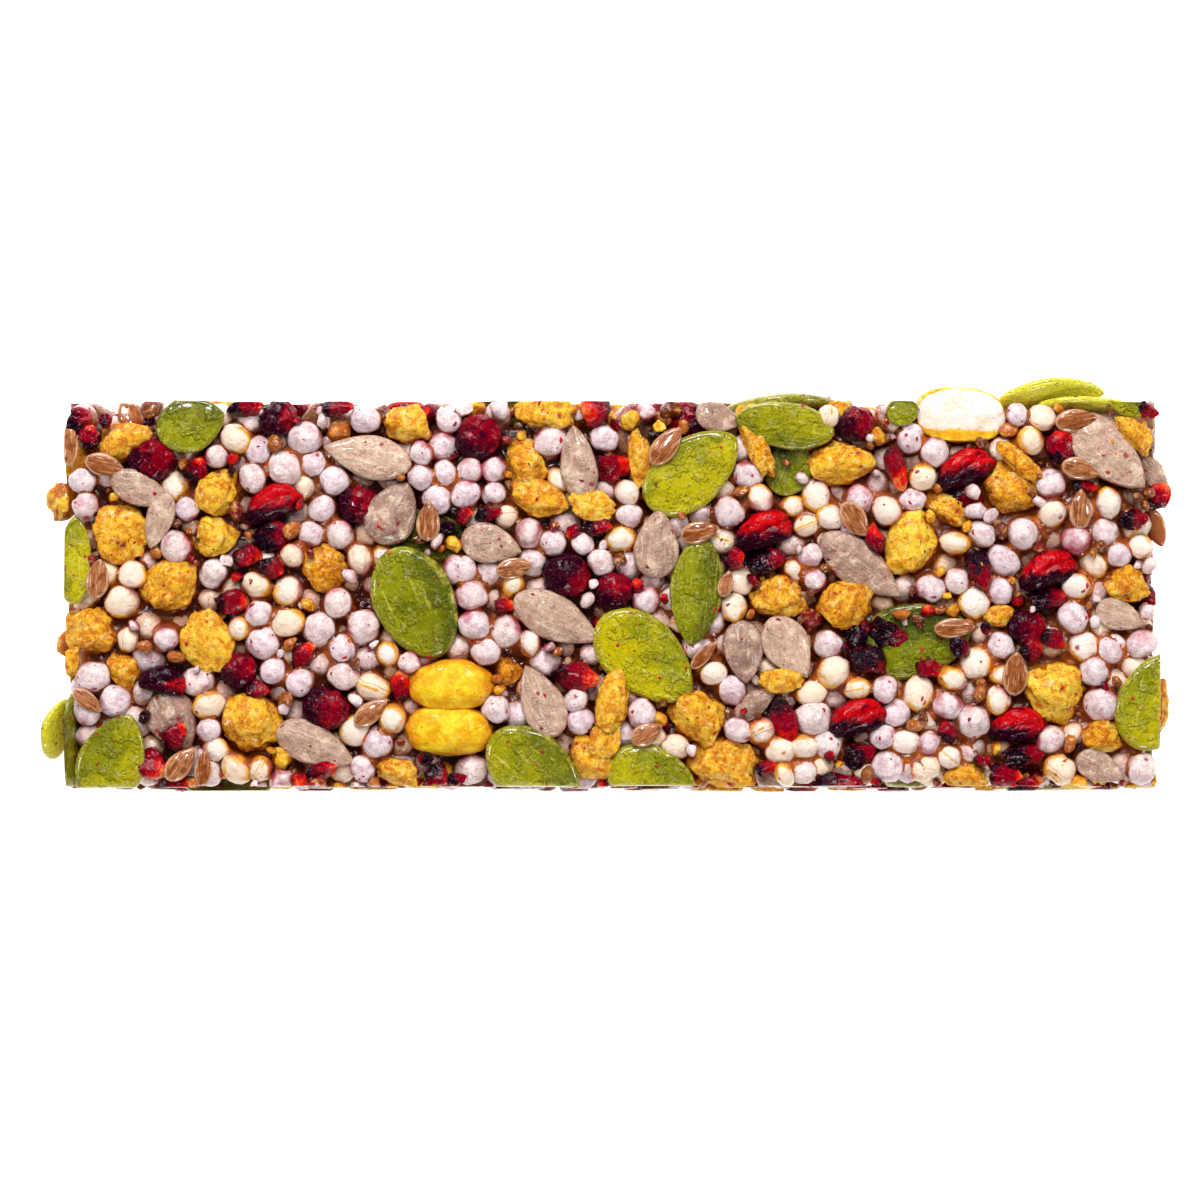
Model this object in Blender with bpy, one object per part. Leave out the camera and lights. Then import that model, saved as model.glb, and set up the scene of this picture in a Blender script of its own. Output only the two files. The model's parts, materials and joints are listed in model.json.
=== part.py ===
"""A pressed seed bar: puffed grains, pumpkin and sunflower kernels, flax, dried fruit and berries in syrup.

The bar lies flat with its length along X and its origin on the underside, at the middle of the slab.
It was pressed on a tray, so its underside is flat, and the pieces there lie flush with the syrup.
Lengths are in millimetres until a mesh is made. The pieces on the top face are placed by eye from the
photograph, the pieces on the other faces by a seeded rule, and the puffed grains settle between them.
"""

import math
import random
from collections import namedtuple

import bmesh
import bpy
import numpy as np
from mathutils import Matrix, Vector

MM = 0.001

# The slab
LENGTH = 115.0
WIDTH = 41.4
THICK = 12.0
HALF = (LENGTH / 2, WIDTH / 2)
# The near side was cut a little askew: its upper edge lies this far in from its lower one
NEAR_LEAN = 1.2
CORE_INSET = 0.95
CORE_BEVEL = 0.6
# Pieces on the cut sides stop this far above the tray, so that the flat underside alone carries the bar
TRAY_GAP = 0.3

# The photograph's scale: the middle of the slab's top face in pixels, and the size of a pixel
PHOTO_MIDDLE = (612, 599)
MM_PER_PIXEL = 0.105

# Pieces fused on, and the least length times width of one that is not a grain
PIECES_SHOWN = 350
LEAST_AREA = 11.0

SEED = 20

# A piece's thickness as a share of its width
THICKNESS = {
    "pumpkin": 0.30,
    "sunflower": 0.50,
    "flax": 0.46,
    "fruit": 0.66,
    "berry": 0.78,
    "bean": 0.80,
    "shred": 0.78,
    "corn": 0.80,
}

Spot = namedtuple("Spot", "x y long wide turn sink roll", defaults=(0.0, 0.0))
Piece = namedtuple("Piece", "kind at size axes proud")

# Pieces of the top face: pixel of the middle, length and width, turn from +X in degrees,
# how far the piece's top lies below the slab's, and its roll about its length
PUMPKIN_SPOTS = (
    Spot(190, 424, 7.4, 5.8, 18),
    Spot(73, 560, 9.4, 3.6, 89, 0.7),
    Spot(415, 603, 12.6, 8.4, -65),
    Spot(426, 536, 9.6, 5.4, -8, 2.0),
    Spot(110, 763, 11.0, 7.0, 68),
    Spot(67, 742, 10.2, 5.0, 88, 0.3, 72),
    Spot(534, 772, 11.8, 7.8, -42),
    Spot(645, 658, 12.6, 7.8, -42, 0.2),
    Spot(652, 780, 10.2, 6.8, -24, 0.2),
    Spot(697, 592, 11.4, 5.6, 264, 0.2),
    Spot(692, 471, 11.8, 7.2, 38),
    Spot(785, 425, 10.6, 4.8, 172),
    Spot(790, 466, 6.4, 5.2, 70, 1.3),
    Spot(914, 641, 12.6, 7.8, 12, 1.1),
    Spot(1155, 702, 10.6, 7.4, 72),
    Spot(903, 411, 3.6, 3.0, 10, 0.6),
    Spot(1130, 403, 4.4, 2.8, -30, 0.8),
)
SUNFLOWER_SPOTS = (
    Spot(141, 490, 7.0, 3.5, -24),
    Spot(158, 521, 6.2, 2.9, 252, 0.1),
    Spot(367, 456, 9.6, 4.6, 168),
    Spot(392, 512, 7.2, 5.4, 62),
    Spot(491, 544, 6.6, 4.2, -14, 0.2),
    Spot(578, 462, 8.0, 3.9, 98, 0.1),
    Spot(557, 619, 10.2, 4.9, -27),
    Spot(541, 701, 8.2, 4.5, 114),
    Spot(315, 746, 9.0, 4.3, -24, 0.3),
    Spot(172, 722, 6.8, 5.2, -60, 0.7),
    Spot(657, 543, 7.5, 4.7, 86),
    Spot(744, 652, 6.7, 4.3, -85, 0.1),
    Spot(789, 648, 7.5, 4.9, -58),
    Spot(862, 566, 10.6, 4.8, -38, 0.3),
    Spot(1110, 453, 10.6, 5.6, -44),
    Spot(718, 417, 4.8, 3.2, -20, 0.8),
    Spot(757, 703, 5.6, 2.6, 38, 1.0),
    Spot(1122, 616, 5.6, 3.2, -20, 0.4),
    Spot(1102, 768, 5.6, 3.2, -24, 0.4),
)
FLAX_SPOTS = (
    Spot(104, 465, 4.3, 2.4, -16),
    Spot(97, 579, 4.3, 2.4, 82),
    Spot(87, 701, 3.8, 1.8, -38),
    Spot(180, 764, 4.4, 2.5, 50),
    Spot(203, 769, 3.9, 1.8, 84),
    Spot(428, 521, 4.3, 2.5, 88),
    Spot(514, 568, 3.9, 2.2, 12),
    Spot(371, 712, 4.4, 2.2, 38),
    Spot(69, 443, 4.8, 1.8, 90),
    Spot(666, 446, 5.0, 2.6, 52, -0.3),
    Spot(700, 532, 4.2, 2.3, 14),
    Spot(726, 584, 2.9, 1.6, 72),
    Spot(704, 655, 3.9, 1.4, 48),
    Spot(647, 734, 3.7, 2.3, 28, -0.2),
    Spot(855, 519, 4.3, 2.6, -56),
    Spot(1077, 420, 4.6, 2.4, 8),
    Spot(1083, 469, 4.6, 2.3, -12),
    Spot(1081, 509, 4.3, 2.3, 88),
    Spot(955, 628, 4.4, 2.1, 4),
    Spot(1016, 674, 4.7, 2.7, 86),
)
FRUIT_SPOTS = (
    Spot(124, 440, 6.4, 4.6, 10, 0.3),
    Spot(117, 533, 6.6, 5.8, -8),
    Spot(170, 590, 6.4, 5.6, 35),
    Spot(205, 640, 7.4, 5.0, -62),
    Spot(88, 632, 5.6, 5.2, 20, 0.2),
    Spot(121, 670, 4.6, 3.0, -55, 0.6),
    Spot(70, 662, 3.6, 2.0, 85, 0.3),
    Spot(252, 724, 7.0, 6.4, 5),
    Spot(217, 492, 5.4, 4.8, 80, 0.4),
    Spot(213, 537, 5.2, 4.2, 30, 0.3),
    Spot(406, 422, 5.4, 4.6, 0),
    Spot(546, 413, 6.6, 3.4, 0),
    Spot(525, 464, 5.6, 4.2, -60, 0.3),
    Spot(535, 500, 6.4, 4.0, -20),
    Spot(590, 504, 5.6, 3.0, -14),
    Spot(322, 568, 5.2, 4.6, 10, 0.8),
    Spot(613, 701, 7.6, 3.5, 84),
    Spot(604, 742, 5.0, 3.0, 70),
    Spot(588, 761, 5.4, 4.2, -40, 0.3),
    Spot(640, 457, 6.8, 2.5, -84),
    Spot(755, 442, 8.2, 2.5, -64),
    Spot(842, 462, 7.6, 5.2, -4),
    Spot(779, 598, 6.8, 4.2, -4, 0.2),
    Spot(848, 604, 6.0, 5.6, 60),
    Spot(916, 545, 7.2, 5.4, 75),
    Spot(1008, 490, 6.4, 5.6, -30, 0.5),
    Spot(1020, 462, 6.0, 2.2, -38, 0.1),
    Spot(1128, 585, 5.2, 3.8, 0, 0.2),
    Spot(1135, 432, 5.6, 3.2, -40, 0.1),
    Spot(1055, 690, 7.8, 6.0, -50),
    Spot(1103, 737, 4.8, 3.4, -5, 0.4),
    Spot(698, 714, 7.4, 6.0, -40, 0.1),
    Spot(724, 764, 8.0, 5.4, -6, 0.1),
    Spot(780, 681, 5.2, 2.4, 4, 0.3),
    Spot(950, 508, 6.2, 3.2, -20, 1.0),
    Spot(397, 771, 5.2, 3.2, -15, 0.6),
    Spot(506, 672, 3.4, 3.0, 30, 1.4),
    Spot(1000, 618, 3.2, 2.4, 20, 0.7),
    Spot(966, 776, 5.2, 2.8, 0, 0.7),
)
BERRY_SPOTS = (
    Spot(150, 460, 4.9, 4.6, 30, -0.1),
    Spot(478, 437, 4.9, 4.7, 60, -0.1),
    Spot(567, 575, 4.9, 4.6, 10, -0.1),
    Spot(325, 708, 5.0, 4.2, -15, -0.1),
    Spot(614, 592, 4.2, 4.0, 70, 0.1),
    Spot(277, 418, 4.0, 3.6, 40, 0.1),
    Spot(357, 504, 4.1, 3.9, 20, 0.2),
    Spot(857, 423, 3.8, 3.6, 30),
    Spot(238, 671, 3.9, 3.5, 50, 0.2),
    Spot(1029, 628, 4.0, 3.5, -20, 0.2),
)
BEAN_SPOTS = (
    Spot(271, 503, 6.0, 3.5, 24),
    Spot(763, 530, 6.2, 3.6, 22),
    Spot(965, 468, 6.2, 3.5, 24),
    Spot(1048, 570, 6.2, 3.5, 24),
    Spot(856, 718, 6.2, 3.6, 22),
    Spot(1018, 726, 5.8, 3.4, 10, 0.4),
    Spot(161, 681, 5.0, 2.9, -8),
)
SHRED_SPOTS = (
    Spot(886, 632, 5.0, 3.6, -24, 0.3),
    Spot(867, 659, 4.8, 3.6, -52, 0.3),
    Spot(858, 634, 3.6, 2.6, 50, 0.9),
    Spot(268, 535, 4.4, 3.0, 10, 0.7),
    Spot(766, 560, 4.4, 3.0, 10, 0.7),
    Spot(960, 502, 4.6, 3.0, 10, 1.2),
    Spot(1047, 600, 4.2, 3.0, 10, 0.6),
    Spot(858, 755, 4.2, 3.0, 10, 0.6),
    Spot(1023, 757, 4.4, 3.0, 10, 0.6),
    Spot(611, 466, 5.0, 3.5, 4),
    Spot(578, 674, 5.0, 3.3, -12),
    Spot(78, 420, 3.2, 2.6, 20),
    Spot(86, 439, 2.8, 2.0, 80, 0.2),
    Spot(245, 406, 4.0, 2.0, 0, 0.3),
    Spot(334, 408, 3.5, 2.1, 5, 0.1),
    Spot(245, 556, 3.4, 2.6, -30, 0.2),
    Spot(271, 567, 3.1, 2.1, -35, 0.1),
    Spot(228, 601, 3.7, 2.4, 0, 0.4),
    Spot(195, 470, 3.2, 2.6, 70, 0.9),
    Spot(172, 736, 3.6, 2.9, 35, -0.4),
    Spot(150, 765, 3.7, 3.1, -30, 0.1),
    Spot(176, 784, 3.2, 1.8, 0, 0.9),
    Spot(256, 689, 2.9, 1.8, -10, 0.3),
    Spot(302, 656, 3.7, 2.1, 30, 0.5),
    Spot(463, 516, 2.1, 1.9, 0, 0.1),
    Spot(487, 513, 3.1, 1.8, 5, 0.1),
    Spot(503, 606, 2.2, 2.0, 0, 0.6),
    Spot(437, 775, 2.8, 2.3, -50, 0.3),
    Spot(399, 688, 3.5, 2.2, 80, 0.9),
    Spot(456, 779, 2.2, 1.7, 0, 0.5),
    Spot(735, 558, 2.4, 2.2, 0, 0.3),
    Spot(896, 465, 5.0, 2.6, -76),
    Spot(980, 568, 4.8, 2.5, -72),
    Spot(785, 716, 5.0, 2.6, -74),
    Spot(876, 541, 3.7, 2.1, 84, 0.1),
    Spot(1060, 450, 3.9, 3.0, 80, 0.1),
    Spot(1084, 486, 2.7, 1.6, -10, 0.5),
    Spot(1135, 517, 3.1, 2.4, 0, 0.2),
    Spot(1052, 637, 2.8, 1.9, -35, 0.1),
    Spot(1030, 650, 2.6, 2.1, 20, 0.5),
    Spot(928, 668, 3.0, 2.2, -50, 0.2),
    Spot(1004, 777, 4.0, 2.9, -15, 0.2),
    Spot(1030, 786, 2.8, 1.9, -32, 0.2),
    Spot(949, 734, 2.7, 2.1, 80, 0.3),
    Spot(838, 786, 6.0, 2.6, 4, 0.5),
    Spot(1148, 409, 2.8, 1.9, -30, 0.4),
    Spot(765, 769, 2.5, 1.9, 20, 0.4),
    Spot(597, 526, 3.2, 1.9, 0, 0.4),
    Spot(322, 768, 3.8, 2.0, 14, 0.8),
)
CORN_SPOTS = (
    Spot(451, 686, 9.2, 5.5, 2, -0.3),
    Spot(449, 731, 9.4, 5.3, -2, -0.3),
)
TOP_SPOTS = {
    "pumpkin": PUMPKIN_SPOTS,
    "sunflower": SUNFLOWER_SPOTS,
    "flax": FLAX_SPOTS,
    "fruit": FRUIT_SPOTS,
    "berry": BERRY_SPOTS,
    "bean": BEAN_SPOTS,
    "shred": SHRED_SPOTS,
    "corn": CORN_SPOTS,
}

# Pieces that stick out past the slab's cut sides: middle from the slab's own middle, height of the middle,
# length, width, turn, and the roll that stands them on edge
JUTTING = (
    ("pumpkin", 17.9, 20.5, 7.2, 12.0, 7.4, 5, 84),
    ("pumpkin", 46.4, 21.4, 8.6, 11.6, 6.4, 7, 62),
    ("pumpkin", 50.0, 20.4, 9.6, 10.2, 3.8, -1, 70),
    ("pumpkin", -59.0, -13.8, 6.4, 6.6, 5.0, 76, 62),
    ("corn", 36.8, 19.4, 9.6, 9.9, 5.8, -3, 0),
    ("fruit", -58.1, 10.4, 8.4, 5.0, 3.2, 68, 0),
    ("fruit", 57.9, -11.4, 7.6, 6.0, 2.6, 88, 0),
    ("shred", 57.6, 10.8, 9.0, 3.2, 2.4, 60, 0),
    ("sunflower", 57.0, 12.8, 9.0, 5.6, 3.4, -50, 20),
    ("fruit", -57.6, -4.6, 8.2, 3.2, 2.2, 80, 0),
    ("flax", 57.6, 7.6, 8.2, 4.4, 2.4, -70, 40),
)

# How many pieces the rule lays on the other faces, and their sizes from least to most
RULE_SIZES = {
    "pumpkin": (10.6, 12.6, 0.66),
    "sunflower": (6.8, 9.6, 0.54),
    "fruit": (5.0, 7.4, 0.76),
    "berry": (4.0, 5.0, 0.92),
    "bean": (4.8, 6.2, 0.58),
    "shred": (2.6, 4.4, 0.68),
    "flax": (4.0, 4.8, 0.56),
}
UNDERSIDE_COUNTS = {"pumpkin": 13, "sunflower": 19, "fruit": 30, "berry": 10, "bean": 6, "shred": 22, "flax": 18}
LONG_SIDE_COUNTS = {"pumpkin": 7, "sunflower": 8, "fruit": 9, "berry": 4, "bean": 2, "shred": 9, "flax": 7}
END_COUNTS = {"pumpkin": 2, "sunflower": 3, "fruit": 3, "berry": 2, "bean": 1, "shred": 3, "flax": 3}
# Pieces of the other faces keep this share of their mean width apart
SPACING = 0.80

# Puffed grains: how many settle in the shell round the core, their radii, and how deep the shell goes
GRAIN_COUNT = 1150
GRAIN_RADIUS = (1.20, 2.00)
SHELL_DEPTH = 4.6
SETTLING_STEPS = 170
DRIFT = 0.035
GRAIN_PROUD = (-0.42, 0.16)
MOST_BITE = 0.42


def axes_of(turn, pitch=0.0, roll=0.0):
    """The directions of a piece's length, width and thickness, as the columns of a rotation."""
    turned = Matrix.Rotation(math.radians(turn), 3, "Z")
    pitched = Matrix.Rotation(math.radians(pitch), 3, "Y")
    rolled = Matrix.Rotation(math.radians(roll), 3, "X")
    return np.round(np.array(turned @ pitched @ rolled, float), 6)


def near_lean(height):
    """How far in from its lower edge the near side lies at that height."""
    return NEAR_LEAN * np.clip(height / THICK, 0.0, 1.0)


def reach(size, axes, direction):
    """Half the extent of an ellipsoid of that size along X, Y or Z."""
    return math.sqrt(sum((0.5 * size[k] * axes[direction][k]) ** 2 for k in range(3)))


def top_pieces(draw):
    """The pieces placed by eye, each with its highest point just under the slab's top."""
    made = []
    for kind, spots in TOP_SPOTS.items():
        for spot in spots:
            size = (spot.long, spot.wide, THICKNESS[kind] * spot.wide)
            axes = axes_of(spot.turn, draw.uniform(-4, 4), spot.roll + draw.uniform(-5, 5))
            x = (spot.x - PHOTO_MIDDLE[0]) * MM_PER_PIXEL
            y = (PHOTO_MIDDLE[1] - spot.y) * MM_PER_PIXEL
            z = THICK - spot.sink - reach(size, axes, 2)
            made.append(Piece(kind, (x, y, z), size, axes, draw.uniform(0.0, 0.25)))
    return made


def jutting_pieces():
    made = []
    for kind, x, y, z, long, wide, turn, roll in JUTTING:
        size = (long, wide, THICKNESS[kind] * wide)
        made.append(Piece(kind, (x, y, z), size, axes_of(turn, 0, roll), 3.0))
    return made


def ruled_size(kind, draw):
    least, most, share = RULE_SIZES[kind]
    long = draw.uniform(least, most)
    wide = long * share * draw.uniform(0.92, 1.08)
    return long, wide, THICKNESS[kind] * wide


def clear_of(at, size, others):
    """Whether a new piece keeps its distance from those already laid."""
    mean = 0.25 * (size[0] + size[1])
    for other in others:
        gap = math.dist(at, other.at)
        if gap < SPACING * (mean + 0.25 * (other.size[0] + other.size[1])):
            return False
    return True


def underside_pieces(draw):
    """Pieces that lie flat on the tray. The pumpkin kernels have their flat side on it, and carry the bar."""
    made = []
    for kind, count in UNDERSIDE_COUNTS.items():
        for number in range(count):
            size = ruled_size(kind, draw)
            flat = kind == "pumpkin"
            for _ in range(400):
                x = draw.uniform(-0.97, 0.97) * HALF[0]
                y = draw.uniform(-0.93, 0.93) * HALF[1]
                if flat and number == 0:
                    x, y = 0.0, 0.0
                tilt = 0.0 if flat else draw.uniform(-6, 6)
                axes = axes_of(draw.uniform(0, 360), 0.0, tilt)
                z = 0.5 * size[2] if flat else reach(size, axes, 2) + draw.uniform(0.05, 0.4)
                if clear_of((x, y, z), size, made):
                    made.append(Piece(kind, (x, y, z), size, axes, draw.uniform(0.0, 0.25)))
                    break
    return made


def side_pieces(others, draw):
    """Pieces that the knife met on the four cut sides. They lie nearly level, as pressing leaves them."""
    made = []
    sides = ((0, 1, END_COUNTS), (0, -1, END_COUNTS), (1, 1, LONG_SIDE_COUNTS), (1, -1, LONG_SIDE_COUNTS))
    for across, sign, counts in sides:
        along = 1 - across
        for kind, count in counts.items():
            for _ in range(count):
                size = ruled_size(kind, draw)
                for _ in range(300):
                    axes = axes_of(draw.uniform(0, 360), draw.uniform(-18, 18), draw.uniform(-30, 30))
                    at = [0.0, 0.0, draw.uniform(2.6, THICK - 3.6)]
                    at[along] = draw.uniform(-0.95, 0.95) * HALF[along]
                    inside = reach(size, axes, across) * draw.uniform(0.35, 0.98)
                    if (across, sign) == (1, -1):
                        inside += float(near_lean(at[2]))
                    at[across] = sign * (HALF[across] - inside)
                    if clear_of(at, size, made + others):
                        made.append(Piece(kind, tuple(at), size, axes, draw.uniform(-0.1, 0.45)))
                        break
    return made


def push_from_pieces(at, radii, pieces):
    """Moves each grain out of the pieces, taken as ellipsoids grown by the grain's radius."""
    deepest = np.zeros(len(at))
    for piece in pieces:
        offset = at - np.array(piece.at)
        far = max(piece.size) * 0.5 + GRAIN_RADIUS[1]
        near = np.nonzero(
            (np.abs(offset[:, 0]) < far) & (np.abs(offset[:, 1]) < far) & (np.abs(offset[:, 2]) < far)
        )[0]
        if not len(near):
            continue
        local = [
            offset[near, 0] * piece.axes[0][k] + offset[near, 1] * piece.axes[1][k] + offset[near, 2] * piece.axes[2][k]
            for k in range(3)
        ]
        grown = [0.5 * piece.size[k] + radii[near] for k in range(3)]
        scaled = [local[k] / grown[k] for k in range(3)]
        share = np.sqrt(scaled[0] ** 2 + scaled[1] ** 2 + scaled[2] ** 2)
        inside = share < 0.999
        if not inside.any():
            continue
        slope = [scaled[k] / grown[k] for k in range(3)]
        steep = np.sqrt(slope[0] ** 2 + slope[1] ** 2 + slope[2] ** 2) + 1e-9
        depth = np.where(inside, (1 - share) * share / steep, 0.0)
        chosen = near[inside]
        deepest[chosen] = np.maximum(deepest[chosen], depth[inside])
        for axis in range(3):
            move = sum(piece.axes[axis][k] * slope[k] for k in range(3)) / steep * depth * 0.6
            at[chosen, axis] += move[inside]
    return deepest


def push_apart(at, radii, pairs):
    """Moves each pair of grains that overlap apart, half the overlap each."""
    first, second = pairs
    gap = [at[second, k] - at[first, k] for k in range(3)]
    far = np.sqrt(gap[0] ** 2 + gap[1] ** 2 + gap[2] ** 2) + 1e-9
    overlap = np.maximum(radii[first] + radii[second] - far, 0.0)
    for k in range(3):
        move = gap[k] / far * overlap * 0.42
        np.add.at(at[:, k], second, move)
        np.add.at(at[:, k], first, -move)


def near_pairs(at, radii, slack=1.2):
    """Pairs of grains close enough to touch within the next few steps."""
    wide = np.zeros((len(at), len(at)))
    for k in range(3):
        wide += (at[:, None, k] - at[None, :, k]) ** 2
    close = wide < (radii[:, None] + radii[None, :] + slack) ** 2
    return np.nonzero(np.triu(close, 1))


def hold_in_shell(at, radii, proud):
    """Drifts each grain towards its nearest face, and keeps it inside the slab and out of the core."""
    room = np.stack(
        [
            HALF[0] - np.abs(at[:, 0]) - radii,
            HALF[1] - np.maximum(at[:, 1], near_lean(at[:, 2]) - at[:, 1]) - radii,
            np.minimum(at[:, 2], THICK - at[:, 2]) - radii,
        ]
    )
    nearest = room.argmin(axis=0)
    outward = np.stack([np.sign(at[:, 0]), np.sign(at[:, 1]), np.sign(at[:, 2] - THICK / 2)])
    step = np.where(room.min(axis=0) > SHELL_DEPTH - 2 * radii, 4 * DRIFT, DRIFT)
    for k in range(3):
        at[:, k] += np.where(nearest == k, outward[k] * step, 0.0)
    limit = [HALF[k] - radii + proud for k in range(2)]
    at[:, 0] = np.clip(at[:, 0], -limit[0], limit[0])
    at[:, 1] = np.clip(at[:, 1], near_lean(at[:, 2]) - limit[1], limit[1])
    at[:, 2] = np.clip(at[:, 2], radii + np.maximum(-proud, 0.0), THICK - radii + proud)


def settled_grains(pieces, draw):
    """Centres and radii of the puffed grains, after they have jostled into the gaps between the pieces."""
    at = np.empty((GRAIN_COUNT, 3))
    radii = np.empty(GRAIN_COUNT)
    proud = np.empty(GRAIN_COUNT)
    for i in range(GRAIN_COUNT):
        radii[i] = draw.triangular(*GRAIN_RADIUS, 1.72)
        proud[i] = draw.uniform(*GRAIN_PROUD)
        while True:
            spot = [draw.uniform(-HALF[0], HALF[0]), draw.uniform(-HALF[1], HALF[1]), draw.uniform(0, THICK)]
            depth = min(HALF[0] - abs(spot[0]), HALF[1] - abs(spot[1]), spot[2], THICK - spot[2])
            if depth < SHELL_DEPTH:
                break
        at[i] = spot
    for step in range(SETTLING_STEPS):
        if step % 6 == 0:
            pairs = near_pairs(at, radii)
        push_apart(at, radii, pairs)
        push_from_pieces(at, radii, pieces)
        hold_in_shell(at, radii, proud)
        at = np.round(at, 6)
    bite = push_from_pieces(at.copy(), radii, pieces)
    kept = bite < MOST_BITE * radii
    return at[kept], radii[kept]


def grain_pieces(pieces, draw):
    at, radii = settled_grains(pieces, draw)
    made = []
    for i in range(len(at)):
        axes = axes_of(draw.uniform(0, 360), draw.uniform(-90, 90), draw.uniform(0, 360))
        size = (2 * radii[i],) * 3
        made.append(Piece("grain", tuple(float(v) for v in at[i]), size, axes, 0.3))
    return made


def lay_out():
    """Every piece of the bar, large ones first and then the grains."""
    draw = random.Random(SEED)
    laid = top_pieces(draw) + jutting_pieces()
    laid += underside_pieces(draw)
    laid += side_pieces(laid, draw)
    return laid, grain_pieces(laid, draw)


def kernel_rings(count, blunt, point):
    """A teardrop outline of unit length and width. It is blunt at -X, and drawn to a point at +X."""
    outline = []
    for i in range(count):
        angle = 2 * math.pi * (i + 0.5) / count
        narrow = 1 - point * max(0.0, math.cos(angle)) ** 2
        outline.append((0.5 * math.cos(angle), 0.5 * math.sin(angle) * narrow * blunt))
    return outline


def kernel_mesh(mesh, count, blunt, point, flat):
    """A flattened kernel: a wide ring round its middle and a smaller flat face above and below."""
    rings = []
    for height, share in ((-0.5, flat), (0.0, 1.0), (0.5, flat)):
        rings.append([mesh.verts.new((x * share, y * share, height)) for x, y in kernel_rings(count, blunt, point)])
    mesh.faces.new(list(reversed(rings[0])))
    mesh.faces.new(rings[2])
    for low, high in ((rings[0], rings[1]), (rings[1], rings[2])):
        for i in range(count):
            j = (i + 1) % count
            mesh.faces.new((low[i], low[j], high[j], high[i]))


def chunk_mesh(mesh, draw, jitter, subdivisions=1):
    """A rough lump: a coarse ball of unit diameter with its corners pulled in and out."""
    bmesh.ops.create_icosphere(mesh, subdivisions=subdivisions, radius=0.5)
    for vert in mesh.verts:
        vert.co *= 1.04 + jitter * draw.uniform(-1, 1)


def unit_mesh(kind, draw):
    """A bmesh of a piece of that kind, one unit long, wide and thick."""
    mesh = bmesh.new()
    if kind == "pumpkin":
        kernel_mesh(mesh, 10, 1.0, 0.28, 0.66)
    elif kind == "sunflower":
        kernel_mesh(mesh, 8, 1.04, 0.45, 0.60)
    elif kind == "flax":
        kernel_mesh(mesh, 6, 1.06, 0.30, 0.62)
    elif kind == "corn":
        chunk_mesh(mesh, draw, 0.0, 2)
    else:
        jitter = {"fruit": 0.16, "berry": 0.03, "bean": 0.05, "shred": 0.12, "grain": 0.0}[kind]
        chunk_mesh(mesh, draw, jitter)
    return mesh


def cut_at_sides(mesh, proud):
    """Flattens what reaches past the slab's sides or below the tray, as the knife and the tray do."""
    limit = [(HALF[k] + proud) * MM for k in range(2)]
    for vert in mesh.verts:
        lean = float(near_lean(vert.co.z / MM)) * MM
        vert.co.x = max(-limit[0], min(limit[0], vert.co.x))
        vert.co.y = max(lean - limit[1], min(limit[1], vert.co.y))
        vert.co.z = max(TRAY_GAP * MM, min((THICK + 0.5) * MM, vert.co.z))


def piece_object(piece, number, holder, draw):
    """One piece as a closed mesh in its place, in the collection of things to be fused."""
    mesh = unit_mesh(piece.kind, draw)
    frame = Matrix(piece.axes.tolist()).to_4x4()
    scale = Matrix.Diagonal(Vector([s * MM for s in piece.size] + [1.0]))
    place = Matrix.Translation(Vector(piece.at) * MM)
    bmesh.ops.transform(mesh, matrix=place @ frame @ scale, verts=mesh.verts)
    cut_at_sides(mesh, piece.proud)
    bmesh.ops.recalc_face_normals(mesh, faces=mesh.faces)
    data = bpy.data.meshes.new(f"{piece.kind}_{number}")
    mesh.to_mesh(data)
    mesh.free()
    made = bpy.data.objects.new(data.name, data)
    holder.objects.link(made)
    return made


def core_object():
    """The syrup-bound block that every piece is fused to."""
    mesh = bmesh.new()
    bmesh.ops.create_cube(mesh, size=1.0)
    size = Vector((LENGTH, WIDTH, THICK)) - Vector((2, 2, 1)) * CORE_INSET
    bmesh.ops.scale(mesh, vec=size * MM, verts=mesh.verts)
    bmesh.ops.translate(mesh, vec=(0, 0, size.z / 2 * MM), verts=mesh.verts)
    for vert in mesh.verts:
        if vert.co.y < 0:
            vert.co.y += float(near_lean(vert.co.z / MM)) * MM
    rim = [edge for edge in mesh.edges if all(vert.co.z > size.z / 2 * MM for vert in edge.verts)]
    bmesh.ops.bevel(mesh, geom=rim, offset=CORE_BEVEL * MM, segments=1, affect="EDGES")
    data = bpy.data.meshes.new("seed_bar")
    mesh.to_mesh(data)
    mesh.free()
    made = bpy.data.objects.new("seed_bar", data)
    bpy.context.scene.collection.objects.link(made)
    return made


def depth_in(piece):
    """How far the piece's nearest point lies inside the slab's top and sides. The underside is flush."""
    gaps = [HALF[k] - abs(piece.at[k]) - reach(piece.size, piece.axes, k) for k in range(2)]
    if piece.at[1] < 0:
        gaps[1] -= float(near_lean(piece.at[2]))
    return min(gaps + [THICK - piece.at[2] - reach(piece.size, piece.axes, 2)])


def spread_choice(grains, taken, count):
    """The outermost grains, each next one the furthest from all that are already shown."""
    outer = [g for g in grains if depth_in(g) < 0.35]
    far = [min(math.dist(g.at, p.at) - 0.4 * p.size[0] for p in taken) for g in outer]
    chosen = []
    for _ in range(min(count, len(outer))):
        best = far.index(max(far))
        chosen.append(outer[best])
        far = [min(far[i], math.dist(g.at, outer[best].at) - 0.4 * outer[best].size[0]) for i, g in enumerate(outer)]
        far[best] = -math.inf
    return chosen


def islands(mesh):
    """The connected shells of a bmesh, each a list of faces."""
    left = set(mesh.faces)
    found = []
    while left:
        stack = [left.pop()]
        shell = []
        while stack:
            face = stack.pop()
            shell.append(face)
            for edge in face.edges:
                for other in edge.link_faces:
                    if other in left:
                        left.remove(other)
                        stack.append(other)
        found.append(shell)
    return found


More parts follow.
